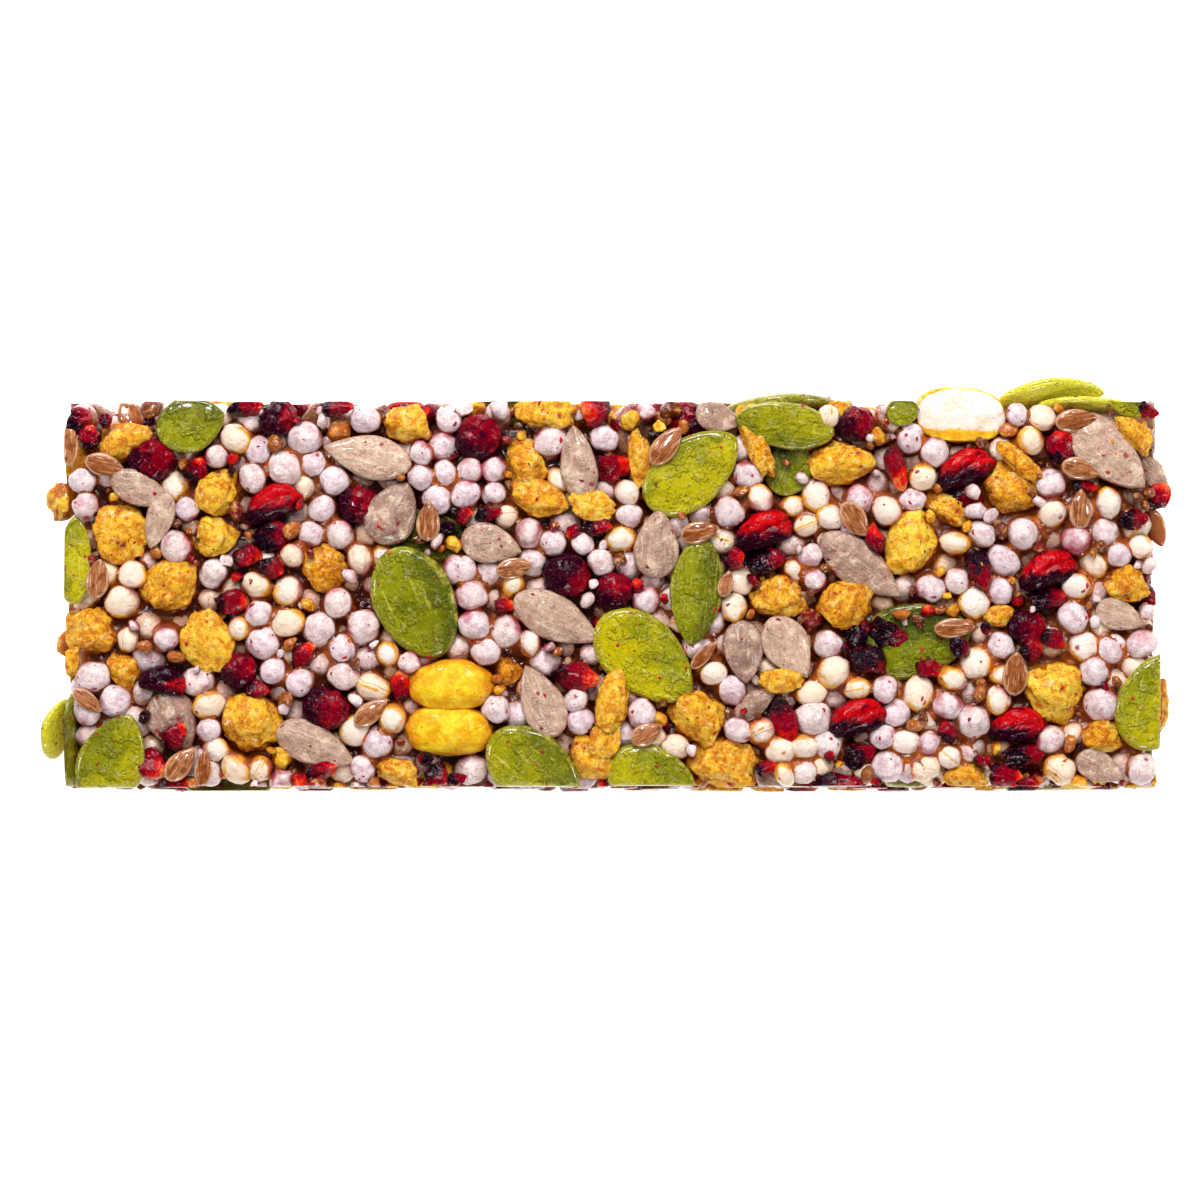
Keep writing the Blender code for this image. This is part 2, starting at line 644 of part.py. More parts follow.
def keep_outer_shell(data):
    """Fills hollows that fusing sealed and drops loose scraps: only the largest shell stays."""
    mesh = bmesh.new()
    mesh.from_mesh(data)
    shells = sorted(islands(mesh), key=len, reverse=True)
    for shell in shells[1:]:
        bmesh.ops.delete(mesh, geom=shell, context="FACES")
    bmesh.ops.triangulate(mesh, faces=mesh.faces)
    mesh.to_mesh(data)
    count = len(mesh.faces)
    mesh.free()
    return count


def fuse(core, holder):
    """Joins every piece in the collection to the core, and removes the pieces."""
    union = core.modifiers.new("fuse", "BOOLEAN")
    union.operation = "UNION"
    union.operand_type = "COLLECTION"
    union.collection = holder
    union.solver = "MANIFOLD"
    graph = bpy.context.evaluated_depsgraph_get()
    fused = bpy.data.meshes.new_from_object(core.evaluated_get(graph))
    core.modifiers.clear()
    core.data = fused
    fused.name = "seed_bar"
    for piece in list(holder.objects):
        bpy.data.objects.remove(piece)
    bpy.data.collections.remove(holder)
    return keep_outer_shell(fused)


def finish_of_bar():
    material = bpy.data.materials.new("seed_mix")
    material.use_nodes = True
    shader = material.node_tree.nodes["Principled BSDF"]
    shader.inputs["Base Color"].default_value = (0.62, 0.42, 0.30, 1.0)
    shader.inputs["Roughness"].default_value = 0.35
    shader.inputs["Metallic"].default_value = 0.0
    return material


def main():
    for old in list(bpy.data.objects):
        bpy.data.objects.remove(old)
    large, grains = lay_out()
    shown = [p for p in large if depth_in(p) < 1.0 and p.size[0] * p.size[1] > LEAST_AREA]
    shown += spread_choice(grains, shown, PIECES_SHOWN - len(shown))
    draw = random.Random(SEED + 1)
    holder = bpy.data.collections.new("pieces")
    bpy.context.scene.collection.children.link(holder)
    for number, piece in enumerate(shown):
        piece_object(piece, number, holder, draw)
    core = core_object()
    triangles = fuse(core, holder)
    core.data.shade_smooth()
    core.data.set_sharp_from_angle(angle=math.radians(35))
    core.data.materials.clear()
    core.data.materials.append(finish_of_bar())
    print(f"{len(large)} large pieces, {len(grains)} grains, {len(shown)} shown, {triangles} triangles")


main()
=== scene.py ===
# %% [markdown]
# # A pressed seed bar
#
# This lesson dresses a small bar of puffed grains, pumpkin and sunflower kernels, flax, sweet corn, crumbly
# dried fruit and crimson berries, all held together by syrup. The bar lies flat and is seen from straight above.
# Its solid comes from a CAD model, and the script puts the real pieces where that solid has its bumps.
#
# The first cell loads the solid as a fixed frame.

# %% Load the solid model
import json
import math
import random
from collections import namedtuple

import bmesh
import bpy
import numpy as np
from mathutils import Matrix, Vector, kdtree, noise

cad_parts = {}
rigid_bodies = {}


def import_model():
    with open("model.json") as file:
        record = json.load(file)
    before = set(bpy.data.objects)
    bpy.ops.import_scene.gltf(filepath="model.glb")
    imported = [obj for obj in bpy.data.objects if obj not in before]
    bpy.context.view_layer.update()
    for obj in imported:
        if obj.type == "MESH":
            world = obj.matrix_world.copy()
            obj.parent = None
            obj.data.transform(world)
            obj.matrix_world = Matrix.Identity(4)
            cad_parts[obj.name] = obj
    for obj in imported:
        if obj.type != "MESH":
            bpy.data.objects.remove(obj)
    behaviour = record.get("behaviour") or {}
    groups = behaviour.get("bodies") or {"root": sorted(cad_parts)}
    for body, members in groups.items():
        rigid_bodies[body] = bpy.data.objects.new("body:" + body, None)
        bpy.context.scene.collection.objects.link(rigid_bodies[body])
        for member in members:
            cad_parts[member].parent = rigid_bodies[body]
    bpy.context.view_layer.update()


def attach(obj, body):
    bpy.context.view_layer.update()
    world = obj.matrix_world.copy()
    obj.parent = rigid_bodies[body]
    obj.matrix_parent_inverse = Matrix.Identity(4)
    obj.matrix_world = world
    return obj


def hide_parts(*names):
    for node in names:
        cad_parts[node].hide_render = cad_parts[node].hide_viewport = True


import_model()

# %% [markdown]
# ## The slab, and how the photograph is read
#
# Everything is laid out in millimetres, as a baker would measure it, and turned into metres when a mesh is made.
# The bar lies with its length along X. A pumpkin kernel is about 12 mm long, and that gives the size of a pixel.

# %% Sizes of the slab
MM = 0.001
LENGTH = 115.0
WIDTH = 41.4
THICK = 12.0
HALF = (LENGTH / 2, WIDTH / 2)
# The near side was cut a little askew: its upper edge lies this far in from its lower one
NEAR_LEAN = 1.2
PHOTO_MIDDLE = (612, 599)
MM_PER_PIXEL = 0.105
SEED = 20
print("slab", LENGTH, "by", WIDTH, "by", THICK, "mm")

# %% [markdown]
# ## What lies on top
#
# The large pieces on the top face are listed one by one: the pixel of each one's middle, its length and width in
# millimetres, and its turn. A few also lie deeper, or are rolled on their side. The same list made the solid.

# %% What a spot says
THICKNESS = {
    "pumpkin": 0.30,
    "sunflower": 0.50,
    "flax": 0.46,
    "fruit": 0.66,
    "berry": 0.78,
    "bean": 0.80,
    "shred": 0.78,
    "corn": 0.80,
}

Spot = namedtuple("Spot", "x y long wide turn sink roll", defaults=(0.0, 0.0))
Piece = namedtuple("Piece", "kind at size axes proud")

# %% Pumpkin kernels on top
PUMPKIN_SPOTS = (
    Spot(190, 424, 7.4, 5.8, 18),
    Spot(73, 560, 9.4, 3.6, 89, 0.7),
    Spot(415, 603, 12.6, 8.4, -65),
    Spot(426, 536, 9.6, 5.4, -8, 2.0),
    Spot(110, 763, 11.0, 7.0, 68),
    Spot(67, 742, 10.2, 5.0, 88, 0.3, 72),
    Spot(534, 772, 11.8, 7.8, -42),
    Spot(645, 658, 12.6, 7.8, -42, 0.2),
    Spot(652, 780, 10.2, 6.8, -24, 0.2),
    Spot(697, 592, 11.4, 5.6, 264, 0.2),
    Spot(692, 471, 11.8, 7.2, 38),
    Spot(785, 425, 10.6, 4.8, 172),
    Spot(790, 466, 6.4, 5.2, 70, 1.3),
    Spot(914, 641, 12.6, 7.8, 12, 1.1),
    Spot(1155, 702, 10.6, 7.4, 72),
    Spot(903, 411, 3.6, 3.0, 10, 0.6),
    Spot(1130, 403, 4.4, 2.8, -30, 0.8),
)

# %% Sunflower kernels on top
SUNFLOWER_SPOTS = (
    Spot(141, 490, 7.0, 3.5, -24),
    Spot(158, 521, 6.2, 2.9, 252, 0.1),
    Spot(367, 456, 9.6, 4.6, 168),
    Spot(392, 512, 7.2, 5.4, 62),
    Spot(491, 544, 6.6, 4.2, -14, 0.2),
    Spot(578, 462, 8.0, 3.9, 98, 0.1),
    Spot(557, 619, 10.2, 4.9, -27),
    Spot(541, 701, 8.2, 4.5, 114),
    Spot(315, 746, 9.0, 4.3, -24, 0.3),
    Spot(172, 722, 6.8, 5.2, -60, 0.7),
    Spot(657, 543, 7.5, 4.7, 86),
    Spot(744, 652, 6.7, 4.3, -85, 0.1),
    Spot(789, 648, 7.5, 4.9, -58),
    Spot(862, 566, 10.6, 4.8, -38, 0.3),
    Spot(1110, 453, 10.6, 5.6, -44),
    Spot(718, 417, 4.8, 3.2, -20, 0.8),
    Spot(757, 703, 5.6, 2.6, 38, 1.0),
    Spot(1122, 616, 5.6, 3.2, -20, 0.4),
    Spot(1102, 768, 5.6, 3.2, -24, 0.4),
)

# %% Flax seeds on top
FLAX_SPOTS = (
    Spot(104, 465, 4.3, 2.4, -16),
    Spot(97, 579, 4.3, 2.4, 82),
    Spot(87, 701, 3.8, 1.8, -38),
    Spot(180, 764, 4.4, 2.5, 50),
    Spot(203, 769, 3.9, 1.8, 84),
    Spot(428, 521, 4.3, 2.5, 88),
    Spot(514, 568, 3.9, 2.2, 12),
    Spot(371, 712, 4.4, 2.2, 38),
    Spot(69, 443, 4.8, 1.8, 90),
    Spot(666, 446, 5.0, 2.6, 52, -0.3),
    Spot(700, 532, 4.2, 2.3, 14),
    Spot(726, 584, 2.9, 1.6, 72),
    Spot(704, 655, 3.9, 1.4, 48),
    Spot(647, 734, 3.7, 2.3, 28, -0.2),
    Spot(855, 519, 4.3, 2.6, -56),
    Spot(1077, 420, 4.6, 2.4, 8),
    Spot(1083, 469, 4.6, 2.3, -12),
    Spot(1081, 509, 4.3, 2.3, 88),
    Spot(955, 628, 4.4, 2.1, 4),
    Spot(1016, 674, 4.7, 2.7, 86),
)

# %% Crumbly fruit on top
FRUIT_SPOTS = (
    Spot(124, 440, 6.4, 4.6, 10, 0.3),
    Spot(117, 533, 6.6, 5.8, -8),
    Spot(170, 590, 6.4, 5.6, 35),
    Spot(205, 640, 7.4, 5.0, -62),
    Spot(88, 632, 5.6, 5.2, 20, 0.2),
    Spot(121, 670, 4.6, 3.0, -55, 0.6),
    Spot(70, 662, 3.6, 2.0, 85, 0.3),
    Spot(252, 724, 7.0, 6.4, 5),
    Spot(217, 492, 5.4, 4.8, 80, 0.4),
    Spot(213, 537, 5.2, 4.2, 30, 0.3),
    Spot(406, 422, 5.4, 4.6, 0),
    Spot(546, 413, 6.6, 3.4, 0),
    Spot(525, 464, 5.6, 4.2, -60, 0.3),
    Spot(535, 500, 6.4, 4.0, -20),
    Spot(590, 504, 5.6, 3.0, -14),
    Spot(322, 568, 5.2, 4.6, 10, 0.8),
    Spot(613, 701, 7.6, 3.5, 84),
    Spot(604, 742, 5.0, 3.0, 70),
    Spot(588, 761, 5.4, 4.2, -40, 0.3),
    Spot(640, 457, 6.8, 2.5, -84),
    Spot(755, 442, 8.2, 2.5, -64),
    Spot(842, 462, 7.6, 5.2, -4),
    Spot(779, 598, 6.8, 4.2, -4, 0.2),
    Spot(848, 604, 6.0, 5.6, 60),
    Spot(916, 545, 7.2, 5.4, 75),
    Spot(1008, 490, 6.4, 5.6, -30, 0.5),
    Spot(1020, 462, 6.0, 2.2, -38, 0.1),
    Spot(1128, 585, 5.2, 3.8, 0, 0.2),
    Spot(1135, 432, 5.6, 3.2, -40, 0.1),
    Spot(1055, 690, 7.8, 6.0, -50),
    Spot(1103, 737, 4.8, 3.4, -5, 0.4),
    Spot(698, 714, 7.4, 6.0, -40, 0.1),
    Spot(724, 764, 8.0, 5.4, -6, 0.1),
    Spot(780, 681, 5.2, 2.4, 4, 0.3),
    Spot(950, 508, 6.2, 3.2, -20, 1.0),
    Spot(397, 771, 5.2, 3.2, -15, 0.6),
    Spot(506, 672, 3.4, 3.0, 30, 1.4),
    Spot(1000, 618, 3.2, 2.4, 20, 0.7),
    Spot(966, 776, 5.2, 2.8, 0, 0.7),
)

# %% Round berries on top
BERRY_SPOTS = (
    Spot(150, 460, 4.9, 4.6, 30, -0.1),
    Spot(478, 437, 4.9, 4.7, 60, -0.1),
    Spot(567, 575, 4.9, 4.6, 10, -0.1),
    Spot(325, 708, 5.0, 4.2, -15, -0.1),
    Spot(614, 592, 4.2, 4.0, 70, 0.1),
    Spot(277, 418, 4.0, 3.6, 40, 0.1),
    Spot(357, 504, 4.1, 3.9, 20, 0.2),
    Spot(857, 423, 3.8, 3.6, 30),
    Spot(238, 671, 3.9, 3.5, 50, 0.2),
    Spot(1029, 628, 4.0, 3.5, -20, 0.2),
)

# %% Long berries on top
BEAN_SPOTS = (
    Spot(271, 503, 6.0, 3.5, 24),
    Spot(763, 530, 6.2, 3.6, 22),
    Spot(965, 468, 6.2, 3.5, 24),
    Spot(1048, 570, 6.2, 3.5, 24),
    Spot(856, 718, 6.2, 3.6, 22),
    Spot(1018, 726, 5.8, 3.4, 10, 0.4),
    Spot(161, 681, 5.0, 2.9, -8),
)

# %% Shreds of berry on top
SHRED_SPOTS = (
    Spot(886, 632, 5.0, 3.6, -24, 0.3),
    Spot(867, 659, 4.8, 3.6, -52, 0.3),
    Spot(858, 634, 3.6, 2.6, 50, 0.9),
    Spot(268, 535, 4.4, 3.0, 10, 0.7),
    Spot(766, 560, 4.4, 3.0, 10, 0.7),
    Spot(960, 502, 4.6, 3.0, 10, 1.2),
    Spot(1047, 600, 4.2, 3.0, 10, 0.6),
    Spot(858, 755, 4.2, 3.0, 10, 0.6),
    Spot(1023, 757, 4.4, 3.0, 10, 0.6),
    Spot(611, 466, 5.0, 3.5, 4),
    Spot(578, 674, 5.0, 3.3, -12),
    Spot(78, 420, 3.2, 2.6, 20),
    Spot(86, 439, 2.8, 2.0, 80, 0.2),
    Spot(245, 406, 4.0, 2.0, 0, 0.3),
    Spot(334, 408, 3.5, 2.1, 5, 0.1),
    Spot(245, 556, 3.4, 2.6, -30, 0.2),
    Spot(271, 567, 3.1, 2.1, -35, 0.1),
    Spot(228, 601, 3.7, 2.4, 0, 0.4),
    Spot(195, 470, 3.2, 2.6, 70, 0.9),
    Spot(172, 736, 3.6, 2.9, 35, -0.4),
    Spot(150, 765, 3.7, 3.1, -30, 0.1),
    Spot(176, 784, 3.2, 1.8, 0, 0.9),
    Spot(256, 689, 2.9, 1.8, -10, 0.3),
    Spot(302, 656, 3.7, 2.1, 30, 0.5),
    Spot(463, 516, 2.1, 1.9, 0, 0.1),
    Spot(487, 513, 3.1, 1.8, 5, 0.1),
    Spot(503, 606, 2.2, 2.0, 0, 0.6),
    Spot(437, 775, 2.8, 2.3, -50, 0.3),
    Spot(399, 688, 3.5, 2.2, 80, 0.9),
    Spot(456, 779, 2.2, 1.7, 0, 0.5),
    Spot(735, 558, 2.4, 2.2, 0, 0.3),
    Spot(896, 465, 5.0, 2.6, -76),
    Spot(980, 568, 4.8, 2.5, -72),
    Spot(785, 716, 5.0, 2.6, -74),
    Spot(876, 541, 3.7, 2.1, 84, 0.1),
    Spot(1060, 450, 3.9, 3.0, 80, 0.1),
    Spot(1084, 486, 2.7, 1.6, -10, 0.5),
    Spot(1135, 517, 3.1, 2.4, 0, 0.2),
    Spot(1052, 637, 2.8, 1.9, -35, 0.1),
    Spot(1030, 650, 2.6, 2.1, 20, 0.5),
    Spot(928, 668, 3.0, 2.2, -50, 0.2),
    Spot(1004, 777, 4.0, 2.9, -15, 0.2),
    Spot(1030, 786, 2.8, 1.9, -32, 0.2),
    Spot(949, 734, 2.7, 2.1, 80, 0.3),
    Spot(838, 786, 6.0, 2.6, 4, 0.5),
    Spot(1148, 409, 2.8, 1.9, -30, 0.4),
    Spot(765, 769, 2.5, 1.9, 20, 0.4),
    Spot(597, 526, 3.2, 1.9, 0, 0.4),
    Spot(322, 768, 3.8, 2.0, 14, 0.8),
)

# %% Corn on top
CORN_SPOTS = (
    Spot(451, 686, 9.2, 5.5, 2, -0.3),
    Spot(449, 731, 9.4, 5.3, -2, -0.3),
)

# %% All that lies on top, and what sticks out past the slab's cut sides
TOP_SPOTS = {
    "pumpkin": PUMPKIN_SPOTS,
    "sunflower": SUNFLOWER_SPOTS,
    "flax": FLAX_SPOTS,
    "fruit": FRUIT_SPOTS,
    "berry": BERRY_SPOTS,
    "bean": BEAN_SPOTS,
    "shred": SHRED_SPOTS,
    "corn": CORN_SPOTS,
}

# Pieces that stick out past the slab's cut sides: middle from the slab's own middle, height of the middle,
# length, width, turn, and the roll that stands them on edge
JUTTING = (
    ("pumpkin", 17.9, 20.5, 7.2, 12.0, 7.4, 5, 84),
    ("pumpkin", 46.4, 21.4, 8.6, 11.6, 6.4, 7, 62),
    ("pumpkin", 50.0, 20.4, 9.6, 10.2, 3.8, -1, 70),
    ("pumpkin", -59.0, -13.8, 6.4, 6.6, 5.0, 76, 62),
    ("corn", 36.8, 19.4, 9.6, 9.9, 5.8, -3, 0),
    ("fruit", -58.1, 10.4, 8.4, 5.0, 3.2, 68, 0),
    ("fruit", 57.9, -11.4, 7.6, 6.0, 2.6, 88, 0),
    ("shred", 57.6, 10.8, 9.0, 3.2, 2.4, 60, 0),
    ("sunflower", 57.0, 12.8, 9.0, 5.6, 3.4, -50, 20),
    ("fruit", -57.6, -4.6, 8.2, 3.2, 2.2, 80, 0),
    ("flax", 57.6, 7.6, 8.2, 4.4, 2.4, -70, 40),
)

# %% [markdown]
# ## The other faces
#
# The sides and the underside don't show in the photograph. A bar is pressed as one sheet and then cut, so the
# same mix shows there: kernels lie nearly level, and the knife slices some of them. A seeded rule draws each
# piece's size and place, and a piece that would crowd its neighbours is drawn again.

# %% How many pieces the rule lays, and their sizes
# The least and the most length in millimetres, and the width as a share of it
RULE_SIZES = {
    "pumpkin": (10.6, 12.6, 0.66),
    "sunflower": (6.8, 9.6, 0.54),
    "fruit": (5.0, 7.4, 0.76),
    "berry": (4.0, 5.0, 0.92),
    "bean": (4.8, 6.2, 0.58),
    "shred": (2.6, 4.4, 0.68),
    "flax": (4.0, 4.8, 0.56),
}
UNDERSIDE_COUNTS = {"pumpkin": 13, "sunflower": 19, "fruit": 30, "berry": 10, "bean": 6, "shred": 22, "flax": 18}
LONG_SIDE_COUNTS = {"pumpkin": 7, "sunflower": 8, "fruit": 9, "berry": 4, "bean": 2, "shred": 9, "flax": 7}
END_COUNTS = {"pumpkin": 2, "sunflower": 3, "fruit": 3, "berry": 2, "bean": 1, "shred": 3, "flax": 3}
# Pieces of the other faces keep this share of their mean width apart
SPACING = 0.80


# %% Place a piece
def axes_of(turn, pitch=0.0, roll=0.0):
    """The directions of a piece's length, width and thickness, as the columns of a rotation."""
    turned = Matrix.Rotation(math.radians(turn), 3, "Z")
    pitched = Matrix.Rotation(math.radians(pitch), 3, "Y")
    rolled = Matrix.Rotation(math.radians(roll), 3, "X")
    return np.round(np.array(turned @ pitched @ rolled, float), 6)


def near_lean(height):
    """How far in from its lower edge the near side lies at that height."""
    return NEAR_LEAN * np.clip(height / THICK, 0.0, 1.0)


def reach(size, axes, direction):
    """Half the extent of an ellipsoid of that size along X, Y or Z."""
    return math.sqrt(sum((0.5 * size[k] * axes[direction][k]) ** 2 for k in range(3)))


def top_pieces(draw):
    """The listed pieces, each with its highest point just under the slab's top."""
    made = []
    for kind, spots in TOP_SPOTS.items():
        for spot in spots:
            size = (spot.long, spot.wide, THICKNESS[kind] * spot.wide)
            axes = axes_of(spot.turn, draw.uniform(-4, 4), spot.roll + draw.uniform(-5, 5))
            x = (spot.x - PHOTO_MIDDLE[0]) * MM_PER_PIXEL
            y = (PHOTO_MIDDLE[1] - spot.y) * MM_PER_PIXEL
            z = THICK - spot.sink - reach(size, axes, 2)
            made.append(Piece(kind, (x, y, z), size, axes, draw.uniform(0.0, 0.25)))
    return made


def jutting_pieces():
    made = []
    for kind, x, y, z, long, wide, turn, roll in JUTTING:
        size = (long, wide, THICKNESS[kind] * wide)
        made.append(Piece(kind, (x, y, z), size, axes_of(turn, 0, roll), 3.0))
    return made


# %% Pieces of the underside and the cut sides
def ruled_size(kind, draw):
    least, most, share = RULE_SIZES[kind]
    long = draw.uniform(least, most)
    wide = long * share * draw.uniform(0.92, 1.08)
    return long, wide, THICKNESS[kind] * wide


def clear_of(at, size, others):
    """Whether a new piece keeps its distance from those already laid."""
    mean = 0.25 * (size[0] + size[1])
    for other in others:
        gap = math.dist(at, other.at)
        if gap < SPACING * (mean + 0.25 * (other.size[0] + other.size[1])):
            return False
    return True


def underside_pieces(draw):
    """Pieces that lie flat on the tray. The pumpkin kernels have their flat side on it, and carry the bar."""
    made = []
    for kind, count in UNDERSIDE_COUNTS.items():
        for number in range(count):
            size = ruled_size(kind, draw)
            flat = kind == "pumpkin"
            for _ in range(400):
                x = draw.uniform(-0.97, 0.97) * HALF[0]
                y = draw.uniform(-0.93, 0.93) * HALF[1]
                if flat and number == 0:
                    x, y = 0.0, 0.0
                tilt = 0.0 if flat else draw.uniform(-6, 6)
                axes = axes_of(draw.uniform(0, 360), 0.0, tilt)
                z = 0.5 * size[2] if flat else reach(size, axes, 2) + draw.uniform(0.05, 0.4)
                if clear_of((x, y, z), size, made):
                    made.append(Piece(kind, (x, y, z), size, axes, draw.uniform(0.0, 0.25)))
                    break
    return made


def side_pieces(others, draw):
    """Pieces that the knife met on the four cut sides. They lie nearly level, as pressing leaves them."""
    made = []
    sides = ((0, 1, END_COUNTS), (0, -1, END_COUNTS), (1, 1, LONG_SIDE_COUNTS), (1, -1, LONG_SIDE_COUNTS))
    for across, sign, counts in sides:
        along = 1 - across
        for kind, count in counts.items():
            for _ in range(count):
                size = ruled_size(kind, draw)
                for _ in range(300):
                    axes = axes_of(draw.uniform(0, 360), draw.uniform(-18, 18), draw.uniform(-30, 30))
                    at = [0.0, 0.0, draw.uniform(2.6, THICK - 3.6)]
                    at[along] = draw.uniform(-0.95, 0.95) * HALF[along]
                    inside = reach(size, axes, across) * draw.uniform(0.35, 0.98)
                    if (across, sign) == (1, -1):
                        inside += float(near_lean(at[2]))
                    at[across] = sign * (HALF[across] - inside)
                    if clear_of(at, size, made + others):
                        made.append(Piece(kind, tuple(at), size, axes, draw.uniform(-0.1, 0.45)))
                        break
    return made


# %% [markdown]
# ## Puffed grains settle in the gaps
#
# About 1,100 puffed grains fill what is left. They start at random in a shell under the faces. In each
# step, grains that overlap push each other apart, the large pieces push them out, and the tray and the knife
# keep them inside. That is how they jostle into place in the real press, so no gap pattern has to be invented.

# %% How the grains settle
# How many start in the shell round the core, their least, most and commonest radius, and the shell's depth
GRAIN_COUNT = 1150
GRAIN_RADIUS = (1.20, 2.00)
COMMON_RADIUS = 1.72
SHELL_DEPTH = 4.6
# The steps, how often the pairs that may touch are sought, and how far a grain drifts outwards in a step
SETTLING_STEPS = 170
STEPS_PER_SEARCH = 6
DRIFT = 0.035
# The share of an overlap that each push mends, between two grains and between a grain and a large piece
GRAIN_PUSH = 0.42
PIECE_PUSH = 0.6
# How far a grain may stand out of its face, and the share of its radius that may stay inside a large piece
GRAIN_PROUD = (-0.42, 0.16)
MOST_BITE = 0.42


# %% Pushes between grains and pieces
def push_from_pieces(at, radii, pieces):
    """Moves each grain out of the pieces, taken as ellipsoids grown by the grain's radius."""
    deepest = np.zeros(len(at))
    for piece in pieces:
        offset = at - np.array(piece.at)
        far = max(piece.size) * 0.5 + GRAIN_RADIUS[1]
        near = np.nonzero((np.abs(offset) < far).all(axis=1))[0]
        if not len(near):
            continue
        x, y, z = offset[near].T
        local = [x * piece.axes[0][k] + y * piece.axes[1][k] + z * piece.axes[2][k] for k in range(3)]
        grown = [0.5 * piece.size[k] + radii[near] for k in range(3)]
        scaled = [local[k] / grown[k] for k in range(3)]
        share = np.sqrt(scaled[0] ** 2 + scaled[1] ** 2 + scaled[2] ** 2)
        inside = share < 0.999
        if not inside.any():
            continue
        slope = [scaled[k] / grown[k] for k in range(3)]
        steep = np.sqrt(slope[0] ** 2 + slope[1] ** 2 + slope[2] ** 2) + 1e-9
        depth = np.where(inside, (1 - share) * share / steep, 0.0)
        chosen = near[inside]
        deepest[chosen] = np.maximum(deepest[chosen], depth[inside])
        for axis in range(3):
            move = sum(piece.axes[axis][k] * slope[k] for k in range(3)) / steep * depth * PIECE_PUSH
            at[chosen, axis] += move[inside]
    return deepest


def push_apart(at, radii, pairs):
    """Moves each pair of grains that overlap apart, half the overlap each."""
    first, second = pairs
    gap = [at[second, k] - at[first, k] for k in range(3)]
    far = np.sqrt(gap[0] ** 2 + gap[1] ** 2 + gap[2] ** 2) + 1e-9
    overlap = np.maximum(radii[first] + radii[second] - far, 0.0)
    for k in range(3):
        move = gap[k] / far * overlap * GRAIN_PUSH
        np.add.at(at[:, k], second, move)
        np.add.at(at[:, k], first, -move)


def near_pairs(at, radii, slack=1.2):
    """Pairs of grains close enough to touch within the next few steps."""
    wide = np.zeros((len(at), len(at)))
    for k in range(3):
        wide += (at[:, None, k] - at[None, :, k]) ** 2
    close = wide < (radii[:, None] + radii[None, :] + slack) ** 2
    return np.nonzero(np.triu(close, 1))


# %% Tray, knife and settling
def hold_in_shell(at, radii, proud):
    """Drifts each grain towards its nearest face, and keeps it inside the slab and out of the core."""
    room = np.stack(
        [
            HALF[0] - np.abs(at[:, 0]) - radii,
            HALF[1] - np.maximum(at[:, 1], near_lean(at[:, 2]) - at[:, 1]) - radii,
            np.minimum(at[:, 2], THICK - at[:, 2]) - radii,
        ]
    )
    nearest = room.argmin(axis=0)
    outward = np.stack([np.sign(at[:, 0]), np.sign(at[:, 1]), np.sign(at[:, 2] - THICK / 2)])
    step = np.where(room.min(axis=0) > SHELL_DEPTH - 2 * radii, 4 * DRIFT, DRIFT)
    for k in range(3):
        at[:, k] += np.where(nearest == k, outward[k] * step, 0.0)
    limit = [HALF[k] - radii + proud for k in range(2)]
    at[:, 0] = np.clip(at[:, 0], -limit[0], limit[0])
    at[:, 1] = np.clip(at[:, 1], near_lean(at[:, 2]) - limit[1], limit[1])
    at[:, 2] = np.clip(at[:, 2], radii + np.maximum(-proud, 0.0), THICK - radii + proud)


def settled_grains(pieces, draw):
    """Centres and radii of the puffed grains, after they have jostled into the gaps between the pieces."""
    at = np.empty((GRAIN_COUNT, 3))
    radii = np.empty(GRAIN_COUNT)
    proud = np.empty(GRAIN_COUNT)
    for i in range(GRAIN_COUNT):
        radii[i] = draw.triangular(*GRAIN_RADIUS, COMMON_RADIUS)
        proud[i] = draw.uniform(*GRAIN_PROUD)
        while True:
            spot = [draw.uniform(-HALF[0], HALF[0]), draw.uniform(-HALF[1], HALF[1]), draw.uniform(0, THICK)]
            depth = min(HALF[0] - abs(spot[0]), HALF[1] - abs(spot[1]), spot[2], THICK - spot[2])
            if depth < SHELL_DEPTH:
                break
        at[i] = spot
    for step in range(SETTLING_STEPS):
        if step % STEPS_PER_SEARCH == 0:
            pairs = near_pairs(at, radii)
        push_apart(at, radii, pairs)
        push_from_pieces(at, radii, pieces)
        hold_in_shell(at, radii, proud)
        at = np.round(at, 6)
    bite = push_from_pieces(at.copy(), radii, pieces)
    kept = bite < MOST_BITE * radii
    return at[kept], radii[kept]


def grain_pieces(pieces, draw):
    at, radii = settled_grains(pieces, draw)
    made = []
    for i in range(len(at)):
        axes = axes_of(draw.uniform(0, 360), draw.uniform(-90, 90), draw.uniform(0, 360))
        size = (2 * radii[i],) * 3
        made.append(Piece("grain", tuple(float(v) for v in at[i]), size, axes, 0.3))
    return made


def lay_out():
    """Every piece of the bar, large ones first and then the grains."""
    draw = random.Random(SEED)
    laid = top_pieces(draw) + jutting_pieces()
    laid += underside_pieces(draw)
    laid += side_pieces(laid, draw)
    return laid, grain_pieces(laid, draw)


# %% Lay everything out
large, grains = lay_out()
print(len(large), "large pieces and", len(grains), "grains")

# %% [markdown]
# Holes are left under the faces that no grain fits into. In the real bar, broken grains and bits of fruit and
# husk lie there. Thousands of places are tried, and the roomiest get a bit just large enough to touch its
# neighbours. The solid leaves these out, because they are too small for it.

# %% Sizes of the small bits
# The places tried, how deep they lie, and the radius of the room that a bit may fill
BIT_TRIES = 12000
BIT_DEPTH = (0.70, 3.2)
BIT_ROOM = (0.30, 1.30)
BITS_MOST = 1300
# A bit's length, width and thickness, and the room it takes from the next ones, for each millimetre of that radius
BIT_LONG = (2.7, 4.2)
BIT_WIDE = 2.8
BIT_THICK = 2.3
BIT_TAKES = 0.9


